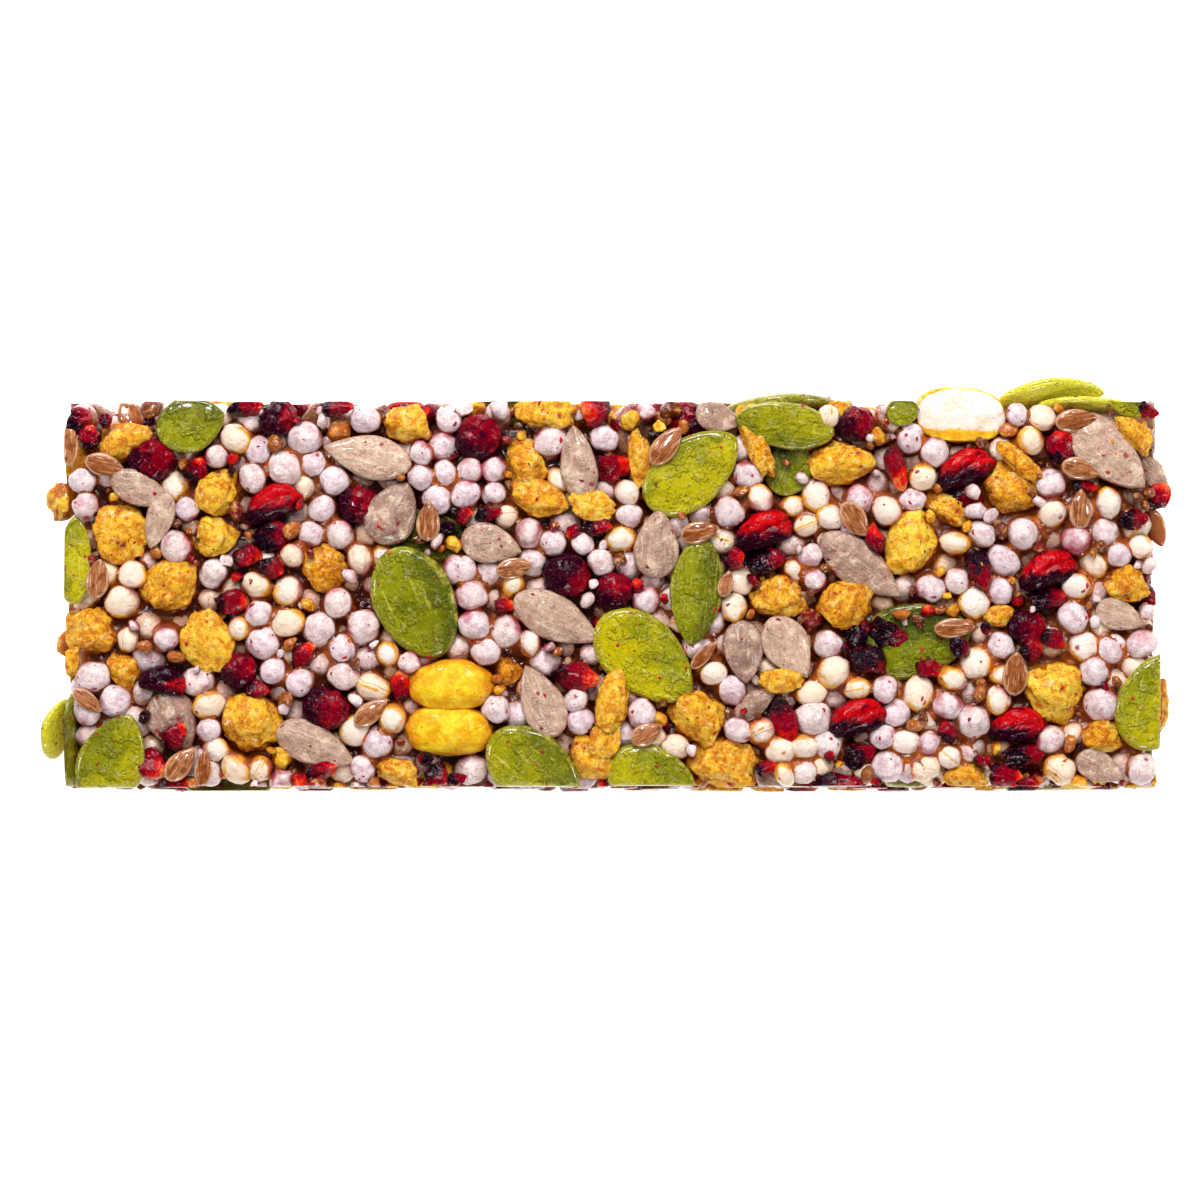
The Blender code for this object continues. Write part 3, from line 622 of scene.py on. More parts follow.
# %% Fill the holes with small bits
def room_at(places, pieces, balls):
    """How far each place is from the nearest piece or grain."""
    room = np.full(len(places), 9.0)
    for ball in balls:
        away = np.sqrt(((places - np.array(ball.at)) ** 2).sum(axis=1)) - ball.size[0] / 2
        room = np.minimum(room, away)
    for piece in pieces:
        offset = places - np.array(piece.at)
        local = offset @ piece.axes
        share = np.sqrt(((local / (np.array(piece.size) / 2)) ** 2).sum(axis=1)) + 1e-9
        away = np.sqrt((offset**2).sum(axis=1)) * (1 - 1 / share)
        room = np.minimum(room, 0.75 * away)
    return room


def small_bits(pieces, balls, draw):
    """Bits for the roomiest of many random places near the faces, each just touching its neighbours."""
    tries = []
    while len(tries) < BIT_TRIES:
        place = [draw.uniform(-HALF[0], HALF[0]), draw.uniform(-HALF[1], HALF[1]), draw.uniform(0, THICK)]
        depth = min(HALF[0] - abs(place[0]), HALF[1] - abs(place[1]), place[2], THICK - place[2])
        if BIT_DEPTH[0] < depth < BIT_DEPTH[1]:
            tries.append(place)
    tries = np.array(tries)
    room = room_at(tries, pieces, balls)
    made = []
    while len(made) < BITS_MOST and room.max() > BIT_ROOM[0]:
        best = int(room.argmax())
        radius = min(BIT_ROOM[1], float(room[best]))
        axes = axes_of(draw.uniform(0, 360), draw.uniform(-90, 90), draw.uniform(0, 360))
        long = draw.uniform(*BIT_LONG) * radius
        made.append(Piece("bit", tuple(tries[best]), (long, BIT_WIDE * radius, BIT_THICK * radius), axes, 0.1))
        away = np.sqrt(((tries - tries[best]) ** 2).sum(axis=1)) - BIT_TAKES * radius
        room = np.minimum(room, away)
    return made


bits = small_bits(large, grains, random.Random(SEED + 3))
print(len(bits), "small bits")

# %% [markdown]
# ## Forms to mould the pieces from
#
# Each kind gets a few forms of about one unit, moulded from a ball of small triangles: a rule moves each point
# of the ball to its place on the form. The point's place on the form is kept as an attribute called local, so
# that a stripe or a rim in the finish can follow the piece however it is turned.


# %% Mould a form
def form(name, fineness, mould, number):
    """One form: a ball whose points a mould moves. The number shifts the noise, so that no two forms are alike."""
    ball = bmesh.new()
    bmesh.ops.create_icosphere(ball, subdivisions=fineness, radius=1.0)
    offset = Vector((7.1 * number + 0.3, 3.3 * number - 1.7, 5.7 - 2.9 * number))
    for vert in ball.verts:
        vert.co = mould(vert.co.copy(), offset)
    bmesh.ops.recalc_face_normals(ball, faces=ball.faces)
    data = bpy.data.meshes.new(name)
    ball.to_mesh(data)
    ball.free()
    places = np.empty(3 * len(data.vertices), np.float32)
    data.vertices.foreach_get("co", places)
    data.attributes.new("local", "FLOAT_VECTOR", "POINT").data.foreach_set("vector", places)
    data.shade_smooth()
    return bpy.data.objects.new(name, data)


def forms(kind, fineness, moulds):
    """A collection of forms of one kind, from which each piece takes one by its number."""
    shelf = bpy.data.collections.new(f"{kind}_forms")
    for number, mould in enumerate(moulds):
        shelf.objects.link(form(f"{kind}_form_{number}", fineness, mould, number))
    return shelf


# %% [markdown]
# A puffed grain is nearly a ball with soft dents, and now and then two that popped together. A cream grain is a
# little flattened, with a raised belt where its bran split.


# %% Puffed grains
def puffed(way, offset):
    swell = 1 + 0.14 * noise.noise(way * 1.3 + offset) + 0.06 * noise.noise(way * 3.1 + offset)
    return way * 0.5 * swell


def puffed_double(way, offset):
    waist = 1 - 0.15 * math.exp(-((way.x / 0.22) ** 2))
    swell = 1 + 0.07 * noise.noise(way * 1.5 + offset)
    return Vector((way.x * 0.5, way.y * 0.5 * waist, way.z * 0.5 * waist)) * swell


def belted(way, offset):
    belt = 0.045 * math.exp(-((way.z / 0.17) ** 2)) - 0.05 * math.exp(-(((way.z - 0.33) / 0.10) ** 2))
    swell = 1 + belt + 0.06 * noise.noise(way * 1.6 + offset) + 0.03 * noise.noise(way * 4.3 + offset)
    return way * 0.5 * swell


lilac_forms = forms("lilac_grain", 3, [puffed, puffed, puffed, puffed, puffed, puffed_double])
cream_forms = forms("cream_grain", 3, [belted, belted, puffed, belted, puffed_double])

# %% [markdown]
# A kernel is a flattened teardrop. Its outline is blunt at one end and drawn to a tip at the other, and its
# faces are flat with a rounded rim. Two powers set how blunt and how sharp it is, another how flat.


# %% Kernels
def teardrop(u, blunt, sharp):
    """A kernel's half width at u, which runs from -1 at the blunt end to 1 at the tip."""
    peak = (blunt - sharp) / (blunt + sharp)
    most = (1 - peak) ** sharp * (1 + peak) ** blunt
    return max(0.0, 1 - u) ** sharp * max(0.0, 1 + u) ** blunt / most


def kernel(blunt, sharp, flat, rim=0.0, ridges=0.0, bend=0.0, taper=0.2):
    """A mould for a kernel: the powers of its ends and faces, and its raised rim, ridges, bend and thinner tip."""

    def mould(way, offset):
        out = math.hypot(way.x, way.y)
        u = way.x / out if out > 1e-6 else 0.0
        side = math.copysign(1.0, way.y)
        spread = out**0.92
        x = 0.5 * u * spread
        y = 0.5 * side * teardrop(u, blunt, sharp) * spread
        rise = math.copysign(abs(way.z) ** flat, way.z)
        rise *= 1 - taper * (x + 0.5) + rim * math.exp(-(((out - 0.86) / 0.07) ** 2))
        rise *= 1 + ridges * math.cos(y * 15 + offset.x)
        wave = noise.noise(Vector((x * 2.2, y * 2.2, 0)) + offset)
        y *= 1 + 0.10 * noise.noise(Vector((x * 2.6, 3.0, 0)) + offset)
        return Vector((x, y, 0.5 * rise + bend * (4 * x * x - 0.4) + 0.10 * wave))

    return mould


pumpkin_forms = forms(
    "pumpkin_kernel",
    4,
    [
        kernel(0.50, 0.62, 0.64, rim=0.04, bend=0.10),
        kernel(0.47, 0.57, 0.60, rim=0.06, bend=-0.06),
        kernel(0.54, 0.70, 0.68, rim=0.03, bend=0.14),
    ],
)
sunflower_forms = forms(
    "sunflower_kernel",
    4,
    [
        kernel(0.52, 0.84, 0.72, ridges=0.05, bend=0.08, taper=0.35),
        kernel(0.46, 0.78, 0.66, ridges=0.06, bend=-0.06, taper=0.30),
        kernel(0.58, 0.92, 0.78, ridges=0.04, bend=0.10, taper=0.40),
    ],
)
flax_forms = forms(
    "flax_seed",
    3,
    [kernel(0.55, 0.80, 0.74, taper=0.25), kernel(0.52, 0.72, 0.68, taper=0.2, bend=0.05)],
)

# %% [markdown]
# The dried fruit is torn into crumbly chunks, with flat sides at random and rough all over. Berries are round
# and dented, or bean-shaped with a fold along them, and their skins are torn into shreds. A corn lobe is plump.


# %% Fruit, berries and corn
def boxed(way, power):
    """A direction's place on a rounded box. The higher the power, the squarer the box."""
    return way / sum(abs(c) ** power for c in way) ** (1 / power)


def facets(number, count, least, most):
    """Flat sides at random round a middle: the way each one faces, and how far out it is."""
    draw = random.Random(number)
    sides = []
    for _ in range(count):
        way = Vector((draw.gauss(0, 1), draw.gauss(0, 1), draw.gauss(0, 0.8))).normalized()
        sides.append((way, draw.uniform(least, most)))
    return sides


def hewn(way, sides, round_off=0.06):
    """How far out the surface lies in that direction, with the edges between the sides rounded."""
    total = 0.0
    for facing, far in sides:
        lean = way.dot(facing)
        if lean > 0.05:
            total += (lean / far) ** (1 / round_off)
    return total ** (-round_off) if total > 0 else 0.6


def crumbly(number):
    sides = facets(number + 40, 15, 0.33, 0.47)

    def mould(way, offset):
        far = min(0.60, hewn(way, sides, 0.13))
        swell = 1.04 + 0.22 * noise.noise(way * 1.5 + offset) + 0.13 * noise.noise(way * 3.4 + offset)
        swell += 0.10 * noise.noise(way * 8.3 + offset) - 0.12 * abs(noise.noise(way * 2.7 - offset))
        return way * min(0.59, far * swell * 1.10)

    return mould


def dented(way, offset):
    folds = abs(noise.noise(way * 1.7 + offset))
    swell = 1.05 - 0.22 * folds + 0.09 * noise.noise(way * 3.6 + offset) + 0.06 * noise.noise(way * 7.9 + offset)
    return boxed(way, 2.3) * 0.5 * swell


def wrinkled(way, offset):
    lean = way.y + 0.10 - 0.25 * way.x + 0.12 * noise.noise(way * 1.4 + offset)
    groove = math.exp(-((lean / 0.13) ** 2)) * max(0.0, way.z + 0.1)
    swell = 1.05 - 0.24 * groove + 0.10 * noise.noise(way * 2.1 + offset) + 0.05 * noise.noise(way * 5.3 + offset)
    place = boxed(way, 2.2) * 0.5 * swell
    place.y *= 1 + 0.36 * place.x
    place.y += 0.15 * (0.25 - 4 * place.x**2)
    return place


def torn(number):
    sides = facets(number + 90, 9, 0.26, 0.48)

    def mould(way, offset):
        far = min(0.62, hewn(way, sides, 0.05))
        swell = 1 + 0.22 * noise.noise(way * 2.3 + offset) - 0.26 * abs(noise.noise(way * 3.3 + offset))
        return way * min(0.60, far * swell * 1.16)

    return mould


def plump(way, offset):
    swell = 1 + 0.10 * noise.noise(way * 1.6 + offset) + 0.06 * noise.noise(way * 3.6 + offset)
    return boxed(way, 2.35) * 0.5 * swell


def halved(way, offset):
    place = plump(way, offset)
    place.z = min(place.z, 0.20 + 0.04 * noise.noise(way * 2.0 + offset))
    return place


fruit_forms = forms("fruit", 4, [crumbly(number) for number in range(7)])
berry_forms = forms("berry", 4, [dented] * 3)
bean_forms = forms("bean", 4, [wrinkled] * 3)
shred_forms = forms("shred", 3, [torn(number) for number in range(7)])
corn_forms = forms("corn", 4, [plump, plump])
halved_forms = forms("halved_corn", 4, [halved])
bit_forms = forms("bit", 2, [crumbly(11), torn(12), crumbly(13), torn(14), crumbly(15)])
plain_forms = forms("plain", 2, [lambda way, offset: way * 0.5])

# %% [markdown]
# ## Laying the pieces
#
# Each kind is a cloud of points, and each point carries a turn, a size, the number of a form and some draws
# for its colour. A Geometry Nodes tree sets a form on each point. One tree serves all the kinds, because its
# inputs name the forms, the finish and how much the pieces swell.


# %% The tree that lays pieces
def new_tree(name, inputs, output):
    """An empty tree with those inputs and one output for what it makes."""
    tree = bpy.data.node_groups.new(name, "GeometryNodeTree")
    for label, kind in inputs.items():
        tree.interface.new_socket(label, in_out="INPUT", socket_type=f"NodeSocket{kind}")
    tree.interface.new_socket(output, in_out="OUTPUT", socket_type="NodeSocketGeometry")
    return tree


def laying_tree():
    inputs = {"Points": "Geometry", "Forms": "Collection", "Finish": "Material", "Swell": "Float"}
    tree = new_tree("lay_pieces", inputs, "Pieces")
    add = tree.nodes.new
    inward = add("NodeGroupInput")
    shelf = add("GeometryNodeCollectionInfo")
    shelf.inputs["Separate Children"].default_value = True
    shelf.inputs["Reset Children"].default_value = True
    turn, size, number = (add("GeometryNodeInputNamedAttribute") for _ in range(3))
    for node, kind, name in ((turn, "FLOAT_VECTOR", "turn"), (size, "FLOAT_VECTOR", "size"), (number, "INT", "form")):
        node.data_type = kind
        node.inputs["Name"].default_value = name
    rotation = add("FunctionNodeEulerToRotation")
    swollen = add("ShaderNodeVectorMath")
    swollen.operation = "SCALE"
    lay = add("GeometryNodeInstanceOnPoints")
    lay.inputs["Pick Instance"].default_value = True
    real = add("GeometryNodeRealizeInstances")
    coat = add("GeometryNodeSetMaterial")
    outward = add("NodeGroupOutput")
    link = tree.links.new
    link(inward.outputs["Forms"], shelf.inputs["Collection"])
    link(turn.outputs["Attribute"], rotation.inputs["Euler"])
    link(size.outputs["Attribute"], swollen.inputs[0])
    link(inward.outputs["Swell"], swollen.inputs["Scale"])
    link(inward.outputs["Points"], lay.inputs["Points"])
    link(shelf.outputs[0], lay.inputs["Instance"])
    link(number.outputs["Attribute"], lay.inputs["Instance Index"])
    link(rotation.outputs["Rotation"], lay.inputs["Rotation"])
    link(swollen.outputs["Vector"], lay.inputs["Scale"])
    link(lay.outputs["Instances"], real.inputs["Geometry"])
    link(real.outputs["Geometry"], coat.inputs["Geometry"])
    link(inward.outputs["Finish"], coat.inputs["Material"])
    link(coat.outputs["Geometry"], outward.inputs["Pieces"])
    return tree


laying = laying_tree()


def run_tree(holder, tree, values, name):
    """Runs a tree on an object with those input values, and returns what it makes as a plain mesh object."""
    step = holder.modifiers.new("make", "NODES")
    step.node_group = tree
    for socket in tree.interface.items_tree:
        if socket.name in values and socket.in_out == "INPUT":
            step[socket.identifier] = values[socket.name]
    bpy.context.scene.collection.objects.link(holder)
    graph = bpy.context.evaluated_depsgraph_get()
    data = bpy.data.meshes.new_from_object(
        holder.evaluated_get(graph), preserve_all_data_layers=True, depsgraph=graph
    )
    holder.modifiers.clear()
    bpy.context.scene.collection.objects.unlink(holder)
    data.name = name
    return bpy.data.objects.new(name, data)


# %% A cloud of points for one kind
def cloud(name, pieces, draw, tints=()):
    """One point for each piece, with its turn, size, form and draws. Tints given come before the drawn ones."""
    data = bpy.data.meshes.new(f"{name}_points")
    data.from_pydata([Vector(p.at) * MM for p in pieces], [], [])
    turns = [Matrix(p.axes.tolist()).to_euler() for p in pieces]
    values = {
        "turn": ("FLOAT_VECTOR", "vector", [c for turn in turns for c in turn]),
        "size": ("FLOAT_VECTOR", "vector", [s * MM for p in pieces for s in p.size]),
        "form": ("INT", "value", [draw.randrange(420) for _ in pieces]),
        "tint": ("FLOAT", "value", (list(tints) + [draw.random() for _ in pieces])[: len(pieces)]),
        "odd": ("FLOAT", "value", [draw.random() for _ in pieces]),
        "proud": ("FLOAT", "value", [p.proud for p in pieces]),
    }
    for key, (kind, field, numbers) in values.items():
        data.attributes.new(key, kind, "POINT").data.foreach_set(field, numbers)
    return bpy.data.objects.new(f"{name}_points", data)


# %% [markdown]
# The knife and the tray act after the pieces are laid. Points past the cut sides or the tray are moved back
# onto them, which leaves flat faces, and an attribute called cut marks those faces for a paler finish. Two
# more attributes serve the syrup and the painted shade: depth says how far a point lies below the nearest face,
# and facing how squarely it looks out through that face. Deep down and round the flanks of each piece the
# finishes turn warm and dark, partly for the syrup that gathers there and partly as painted shade.


# %% Cut and measure a piece
# A point this close to a second face counts for it too
FACE_REACH = 2.6
# How fast a cut face turns pale, the lowest and highest that a point may lie, and a sharp edge's least angle
CUT_PALES = 6
LOWEST = 0.03
HIGHEST = THICK + 0.45
SHARP_EDGE = 50


def faces_off(at):
    """How far points lie from the slab's ends, its long sides, and its top or underside."""
    across = HALF[1] - np.maximum(at[:, 1], near_lean(at[:, 2]) - at[:, 1])
    return np.stack([HALF[0] - np.abs(at[:, 0]), across, np.minimum(at[:, 2], THICK - at[:, 2])])


def face_depth(at):
    """How deep points lie under the slab's nearest face, in millimetres."""
    return np.min(faces_off(at), axis=0)


def facing_of(at, normals):
    """How squarely points look out through a face: the best of the nearest face and any within reach."""
    room = faces_off(at)
    outward = np.stack([np.sign(at[:, 0]), np.sign(at[:, 1]), np.sign(at[:, 2] - THICK / 2)])
    near = room <= np.maximum(room.min(axis=0), FACE_REACH)
    return np.where(near, normals.T * outward, -1.0).max(axis=0)


def cut_and_measure(piece):
    """Moves points past the slab's faces back onto them, and stores cut, depth and facing at each point."""
    data = piece.data
    count = len(data.vertices)
    at = np.empty(3 * count, np.float32)
    data.vertices.foreach_get("co", at)
    at = at.reshape(-1, 3) / MM
    proud = np.empty(count, np.float32)
    data.attributes["proud"].data.foreach_get("value", proud)
    cut = np.zeros(count, np.float32)
    lean = (np.zeros(count), near_lean(at[:, 2]))
    for k in range(2):
        high = HALF[k] + proud
        low = lean[k] - high
        over = np.maximum(at[:, k] - high, low - at[:, k])
        cut = np.maximum(cut, np.clip(over * CUT_PALES, 0, 1))
        at[:, k] = np.clip(at[:, k], low, high)
    at[:, 2] = np.clip(at[:, 2], LOWEST, HIGHEST)
    data.attributes.new("cut", "FLOAT", "POINT").data.foreach_set("value", cut)
    data.attributes.new("depth", "FLOAT", "POINT").data.foreach_set("value", face_depth(at).astype(np.float32))
    data.vertices.foreach_set("co", (at * MM).astype(np.float32).ravel())
    data.update()
    normals = np.empty(3 * count, np.float32)
    data.vertex_normals.foreach_get("vector", normals)
    facing = facing_of(at, normals.reshape(-1, 3))
    data.attributes.new("facing", "FLOAT", "POINT").data.foreach_set("value", facing.astype(np.float32))
    data.set_sharp_from_angle(angle=math.radians(SHARP_EDGE))


def lay_kind(name, pieces, shelf, finish, draw, slot, tints=()):
    """Lays all pieces of a kind, cuts them, and makes them one piece of the bar."""
    values = {"Forms": shelf, "Finish": finish, "Swell": 1.0}
    piece = run_tree(cloud(name, pieces, draw, tints), laying, values, name)
    bpy.context.scene.collection.objects.link(piece)
    cut_and_measure(piece)
    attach(piece, "root")
    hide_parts("seed_bar")
    print(name, len(pieces), "pieces,", len(piece.data.polygons), "faces")


# %% [markdown]
# ## Writing finishes as arithmetic
#
# A finish is a network of shader nodes. Written node by node it is hard to read, so a small class wraps a
# socket and adds the node when it is added to, multiplied or compared. One method makes any other node.


# %% Values and finishes
class Value:
    """A socket that carries a value in a finish. Arithmetic on it adds Math nodes."""

    def __init__(self, finish, socket):
        self.finish = finish
        self.socket = socket

    def math(self, operation, *values):
        return self.finish.node("ShaderNodeMath", {"operation": operation}, values)

    def __add__(self, other):
        return self.math("ADD", self, other)

    __radd__ = __add__

    def __sub__(self, other):
        return self.math("SUBTRACT", self, other)

    def __rsub__(self, other):
        return self.math("SUBTRACT", other, self)

    def __mul__(self, other):
        return self.math("MULTIPLY", self, other)

    __rmul__ = __mul__

    def size(self):
        return self.math("ABSOLUTE", self)

    def most(self, other):
        return self.math("MAXIMUM", self, other)

    def step(self, low, high):
        """0 below low and 1 above high, with a smooth ramp between. It runs down where low is above high."""
        first, last = (0.0, 1.0) if low < high else (1.0, 0.0)
        ends = {"From Min": min(low, high), "From Max": max(low, high), "To Min": first, "To Max": last}
        return self.finish.node("ShaderNodeMapRange", {"interpolation_type": "SMOOTHSTEP"}, {"Value": self, **ends})


class Finish:
    """A material on the Principled shader, in millimetres. The method called node adds any node to it."""

    def __init__(self, name, constants):
        self.material = bpy.data.materials.new(name)
        self.material.use_nodes = True
        self.tree = self.material.node_tree
        self.shader = self.tree.nodes["Principled BSDF"]
        self.shader.inputs["Specular IOR Level"].default_value = 0.20
        for socket, value in constants.items():
            self.shader.inputs[socket].default_value = value
        where = self.node("ShaderNodeTexCoord", {}, {}, "Object")
        self.place = self.node("ShaderNodeVectorMath", {"operation": "SCALE"}, {0: where, "Scale": 1 / MM})

    def node(self, kind, settings, sockets, out=0):
        node = self.tree.nodes.new(kind)
        for key, value in settings.items():
            setattr(node, key, value)
        for key, value in sockets.items() if isinstance(sockets, dict) else enumerate(sockets):
            self.put(node.inputs[key], value)
        return Value(self, node.outputs[out])

    def put(self, socket, value):
        if isinstance(value, Value):
            self.tree.links.new(value.socket, socket)
        else:
            socket.default_value = value

    def set(self, name, value):
        self.put(self.shader.inputs[name], value)

    def mix(self, share, first, second, way="MIX"):
        settings = {"data_type": "RGBA", "blend_type": way, "clamp_factor": True}
        return self.node("ShaderNodeMix", settings, {0: share, 6: first, 7: second}, 2)

    def noise(self, per_mm, detail=2.0, rough=0.5, where=None, twist=0.0):
        sockets = {"Vector": where or self.place, "Scale": per_mm, "Detail": detail, "Roughness": rough}
        return self.node("ShaderNodeTexNoise", {}, {**sockets, "Distortion": twist})

    def cells(self, per_mm):
        """How far the nearest point of a random field is, and a draw that belongs to that point."""
        away = self.node("ShaderNodeTexVoronoi", {}, {"Vector": self.place, "Scale": per_mm}, "Distance")
        return away, self.parts(Value(self, away.socket.node.outputs["Color"]))[0]

    def attribute(self, name, out="Fac"):
        return self.node("ShaderNodeAttribute", {"attribute_name": name}, {}, out)

    def parts(self, vector):
        """The X, Y and Z of a vector."""
        split = self.tree.nodes.new("ShaderNodeSeparateXYZ")
        self.put(split.inputs[0], vector)
        return [Value(self, socket) for socket in split.outputs]

    def bump(self, height, depth_mm, strength=1.0):
        sockets = {"Height": height, "Distance": depth_mm * MM, "Strength": strength}
        self.set("Normal", self.node("ShaderNodeBump", {}, sockets, "Normal"))


def tone(red, green, blue):
    """A colour as a painter reads it off a screen, made linear for the shader."""
    shares = [c / 255 for c in (red, green, blue)]
    return tuple(s / 12.92 if s <= 0.04045 else ((s + 0.055) / 1.055) ** 2.4 for s in shares) + (1.0,)


# %% [markdown]
# Three things are common to all the pieces. Crimson dust from the crushed berries sticks to them as fine
# specks. Where they lie deep and round their flanks they turn warm and dark, partly from the syrup that soaks
# into them and partly as painted shade. And a thin, uneven glaze lies over them, wet in some places and dry
# in others.


# %% Dust, soaking with painted shade, and glaze
def dusted(finish, colour, amount=0.5):
    """Crimson specks, each in a cell of its own, of which a share given by amount is filled."""
    ragged = finish.noise(7.0, 1.0)
    specks = 0.0
    for per_mm, filled in ((0.55, amount * 0.8), (1.6, amount * 0.7)):
        away, drawn = finish.cells(per_mm)
        speck = (away + ragged * 0.25).step(0.29, 0.24) * drawn.step(1 - filled, 1.02 - filled)
        specks = speck.most(specks)
    return finish.mix(specks * 0.85, colour, tone(158, 10, 40))


def soaked_and_shaded(finish, colour, soak_and_shade=(0.66, 0.34, 0.13, 1.0), start=0.9, end=3.0, rim=tone(160, 84, 38), juice=0.0):
    """Warmer and darker with depth, and ringed with amber round the flanks, or with berry juice on some pieces.
    Both the darkening and the ring are partly stain and partly painted shade.
    """
    wander = (finish.noise(0.9, 2.0) - 0.5) * 0.6
    facing = finish.attribute("facing")
    if juice:
        where = finish.noise(0.22, 2.0).step(0.54, 0.62)
        stain = (facing + wander * 1.6).step(0.92, 0.40) * where
        colour = finish.mix(stain * juice, colour, tone(176, 28, 62))
        rim = finish.mix(where, rim, tone(124, 14, 34))
    # The ring round the flanks, where each piece turns into the gaps: syrup stain and painted shade.
    flank = (facing + wander).step(0.60, 0.10)
    colour = finish.mix(flank * 0.85, colour, rim)
    # Deep in the gaps: warmer with the syrup that soaks in, and darker as painted shade.
    depth = finish.attribute("depth") + wander * 2.0
    return finish.mix(depth.step(start, end), colour, finish.mix(1.0, colour, soak_and_shade, "MULTIPLY"))


def glazed(finish, dry=0.62, wet=0.12, coat=0.4, per_mm=0.6, share=0.46, band=(0.70, 0.45)):
    """Dry, with wet patches of glaze on a share of the surface and on flanks past band. Returns its ripples."""
    patch = finish.noise(per_mm, 3.0, 0.6).step(0.66 - 0.34 * share, 0.74 - 0.34 * share)
    patch = patch.most(finish.attribute("facing").step(*band))
    finish.set("Roughness", dry + patch * (wet - dry))
    finish.set("Coat Weight", patch * coat)
    return patch * finish.noise(2.2, 1.0, 0.5, twist=1.2)


def finished(finish, colour):
    """Sets the colour that was built up, and returns the material."""
    finish.set("Base Color", colour)
    return finish.material


# %% [markdown]
# ## Puffed grains
#
# The lilac grains have taken a blush of berry juice and feel like fine polystyrene. The cream ones keep a
# golden belt of bran. Both are nearly white inside, so a little light scatters under their surface.

# %% The lilac grains' finish
SOFT = {"Subsurface Weight": 0.24, "Subsurface Radius": (1.0, 0.7, 0.5), "Subsurface Scale": 0.0009}


def lilac_finish():
    look = Finish("lilac_puffed_grain", {**SOFT, "Coat Roughness": 0.16, "IOR": 1.45})
    tint = look.attribute("tint")
    mottle = look.noise(1.1, 3.0, 0.6)
    pale = look.mix(tint, tone(238, 218, 222), tone(240, 220, 216))
    deep = look.mix(tint, tone(204, 176, 186), tone(210, 184, 182))
    colour = look.mix(mottle.step(0.42, 0.66), pale, deep)
    juice = look.noise(0.42, 2.0).step(0.58, 0.72) * look.attribute("odd").step(0.3, 0.8)
    colour = look.mix(juice * 0.6, colour, tone(186, 84, 108))
    grit = look.noise(5.0, 3.0, 0.7)
    colour = look.mix(grit.step(0.48, 0.34) * 0.55, colour, tone(168, 134, 138))
    colour = look.mix(grit.step(0.56, 0.70) * 0.7, colour, tone(246, 232, 236))
    ripples = glazed(look, 0.50, 0.11, 0.4)
    look.bump(grit * 0.35 + look.noise(2.0, 1.0) * 0.7 + ripples, 0.10)
    return finished(look, dusted(look, soaked_and_shaded(look, colour, rim=tone(158, 78, 44), juice=0.8), 0.20))


# %% The cream grains' finish
def cream_finish():
    look = Finish("cream_puffed_grain", {**SOFT, "Coat Roughness": 0.12, "IOR": 1.47})
    x, y, z = look.parts(look.attribute("local", "Vector"))
    wander = look.noise(0.9, 2.0) - 0.5
    tint = look.attribute("tint")
    odd = look.attribute("odd")
    colour = look.mix(tint, tone(246, 228, 218), tone(242, 218, 192))
    colour = look.mix(look.noise(1.1, 2.0).step(0.5, 0.7) * 0.5, colour, tone(226, 196, 174))
    flank = (look.attribute("facing") + wander * 0.5).step(0.80, 0.60)
    one_side = (x * 0.8 + y * 0.6 + wander * 0.6).step(-0.04, 0.18)
    seam = (z + wander * 0.12).size().step(0.07, 0.02) * look.noise(0.7, 1.0).step(0.44, 0.54)
    gold = (flank * one_side).most(seam * odd.step(0.80, 0.86))
    amber = look.mix(look.noise(1.8, 2.0).step(0.35, 0.65), tone(242, 184, 40), tone(212, 134, 12))
    colour = look.mix(gold * 0.95, colour, amber)
    split = (z - 0.12 + wander * 0.14).size().step(0.022, 0.006) * odd.step(0.86, 0.90)
    colour = look.mix(split * 0.7, colour, tone(150, 82, 38))
    ripples = glazed(look, 0.42, 0.12, 0.5)
    look.bump(look.noise(2.4, 2.0) * 0.7 + gold * 0.2 + ripples, 0.10)
    return finished(look, dusted(look, soaked_and_shaded(look, colour, rim=tone(188, 98, 22), juice=0.7), 0.14))


# %% Lay the grains
LILAC_SHARE = 0.6
# How much longer, wider and thicker than its ball a grain gets, from least to most
UNEVEN = ((0.96, 1.14), (0.90, 1.05), (0.88, 1.02))
FLATTENED = ((1.00, 1.16), (0.92, 1.04), (0.80, 0.94))
# The syrup's solid core lies this far inside the sides and the top, and this far above the underside
CORE_IN = 2.7
CORE_UP = 1.62


def uneven(pieces, spans, draw):
    """The same grains, each a little longer, narrower and flatter by a draw of its own."""
    return [p._replace(size=tuple(s * draw.uniform(*span) for s, span in zip(p.size, spans))) for p in pieces]


def outside_core(pieces):
    """The pieces that reach out of the syrup's core. The others can't be seen."""
    kept = []
    for piece in pieces:
        reach = piece.size[0] / 2
        room = min(HALF[0] - abs(piece.at[0]), HALF[1] - abs(piece.at[1]), THICK - piece.at[2])
        if room - reach < CORE_IN or piece.at[2] - reach < CORE_UP:
            kept.append(piece)
    return kept


draw = random.Random(SEED + 2)
is_lilac = [draw.random() < LILAC_SHARE for _ in grains]
lilac_grains = uneven([g for g, lilac in zip(grains, is_lilac) if lilac], UNEVEN, draw)
cream_grains = uneven([g for g, lilac in zip(grains, is_lilac) if not lilac], FLATTENED, draw)
lilac_look = lilac_finish()
lay_kind("lilac_grains", outside_core(lilac_grains), lilac_forms, lilac_look, draw, "puffed_grain")
lay_kind("cream_grains", outside_core(cream_grains), cream_forms, cream_finish(), draw, "puffed_grain")
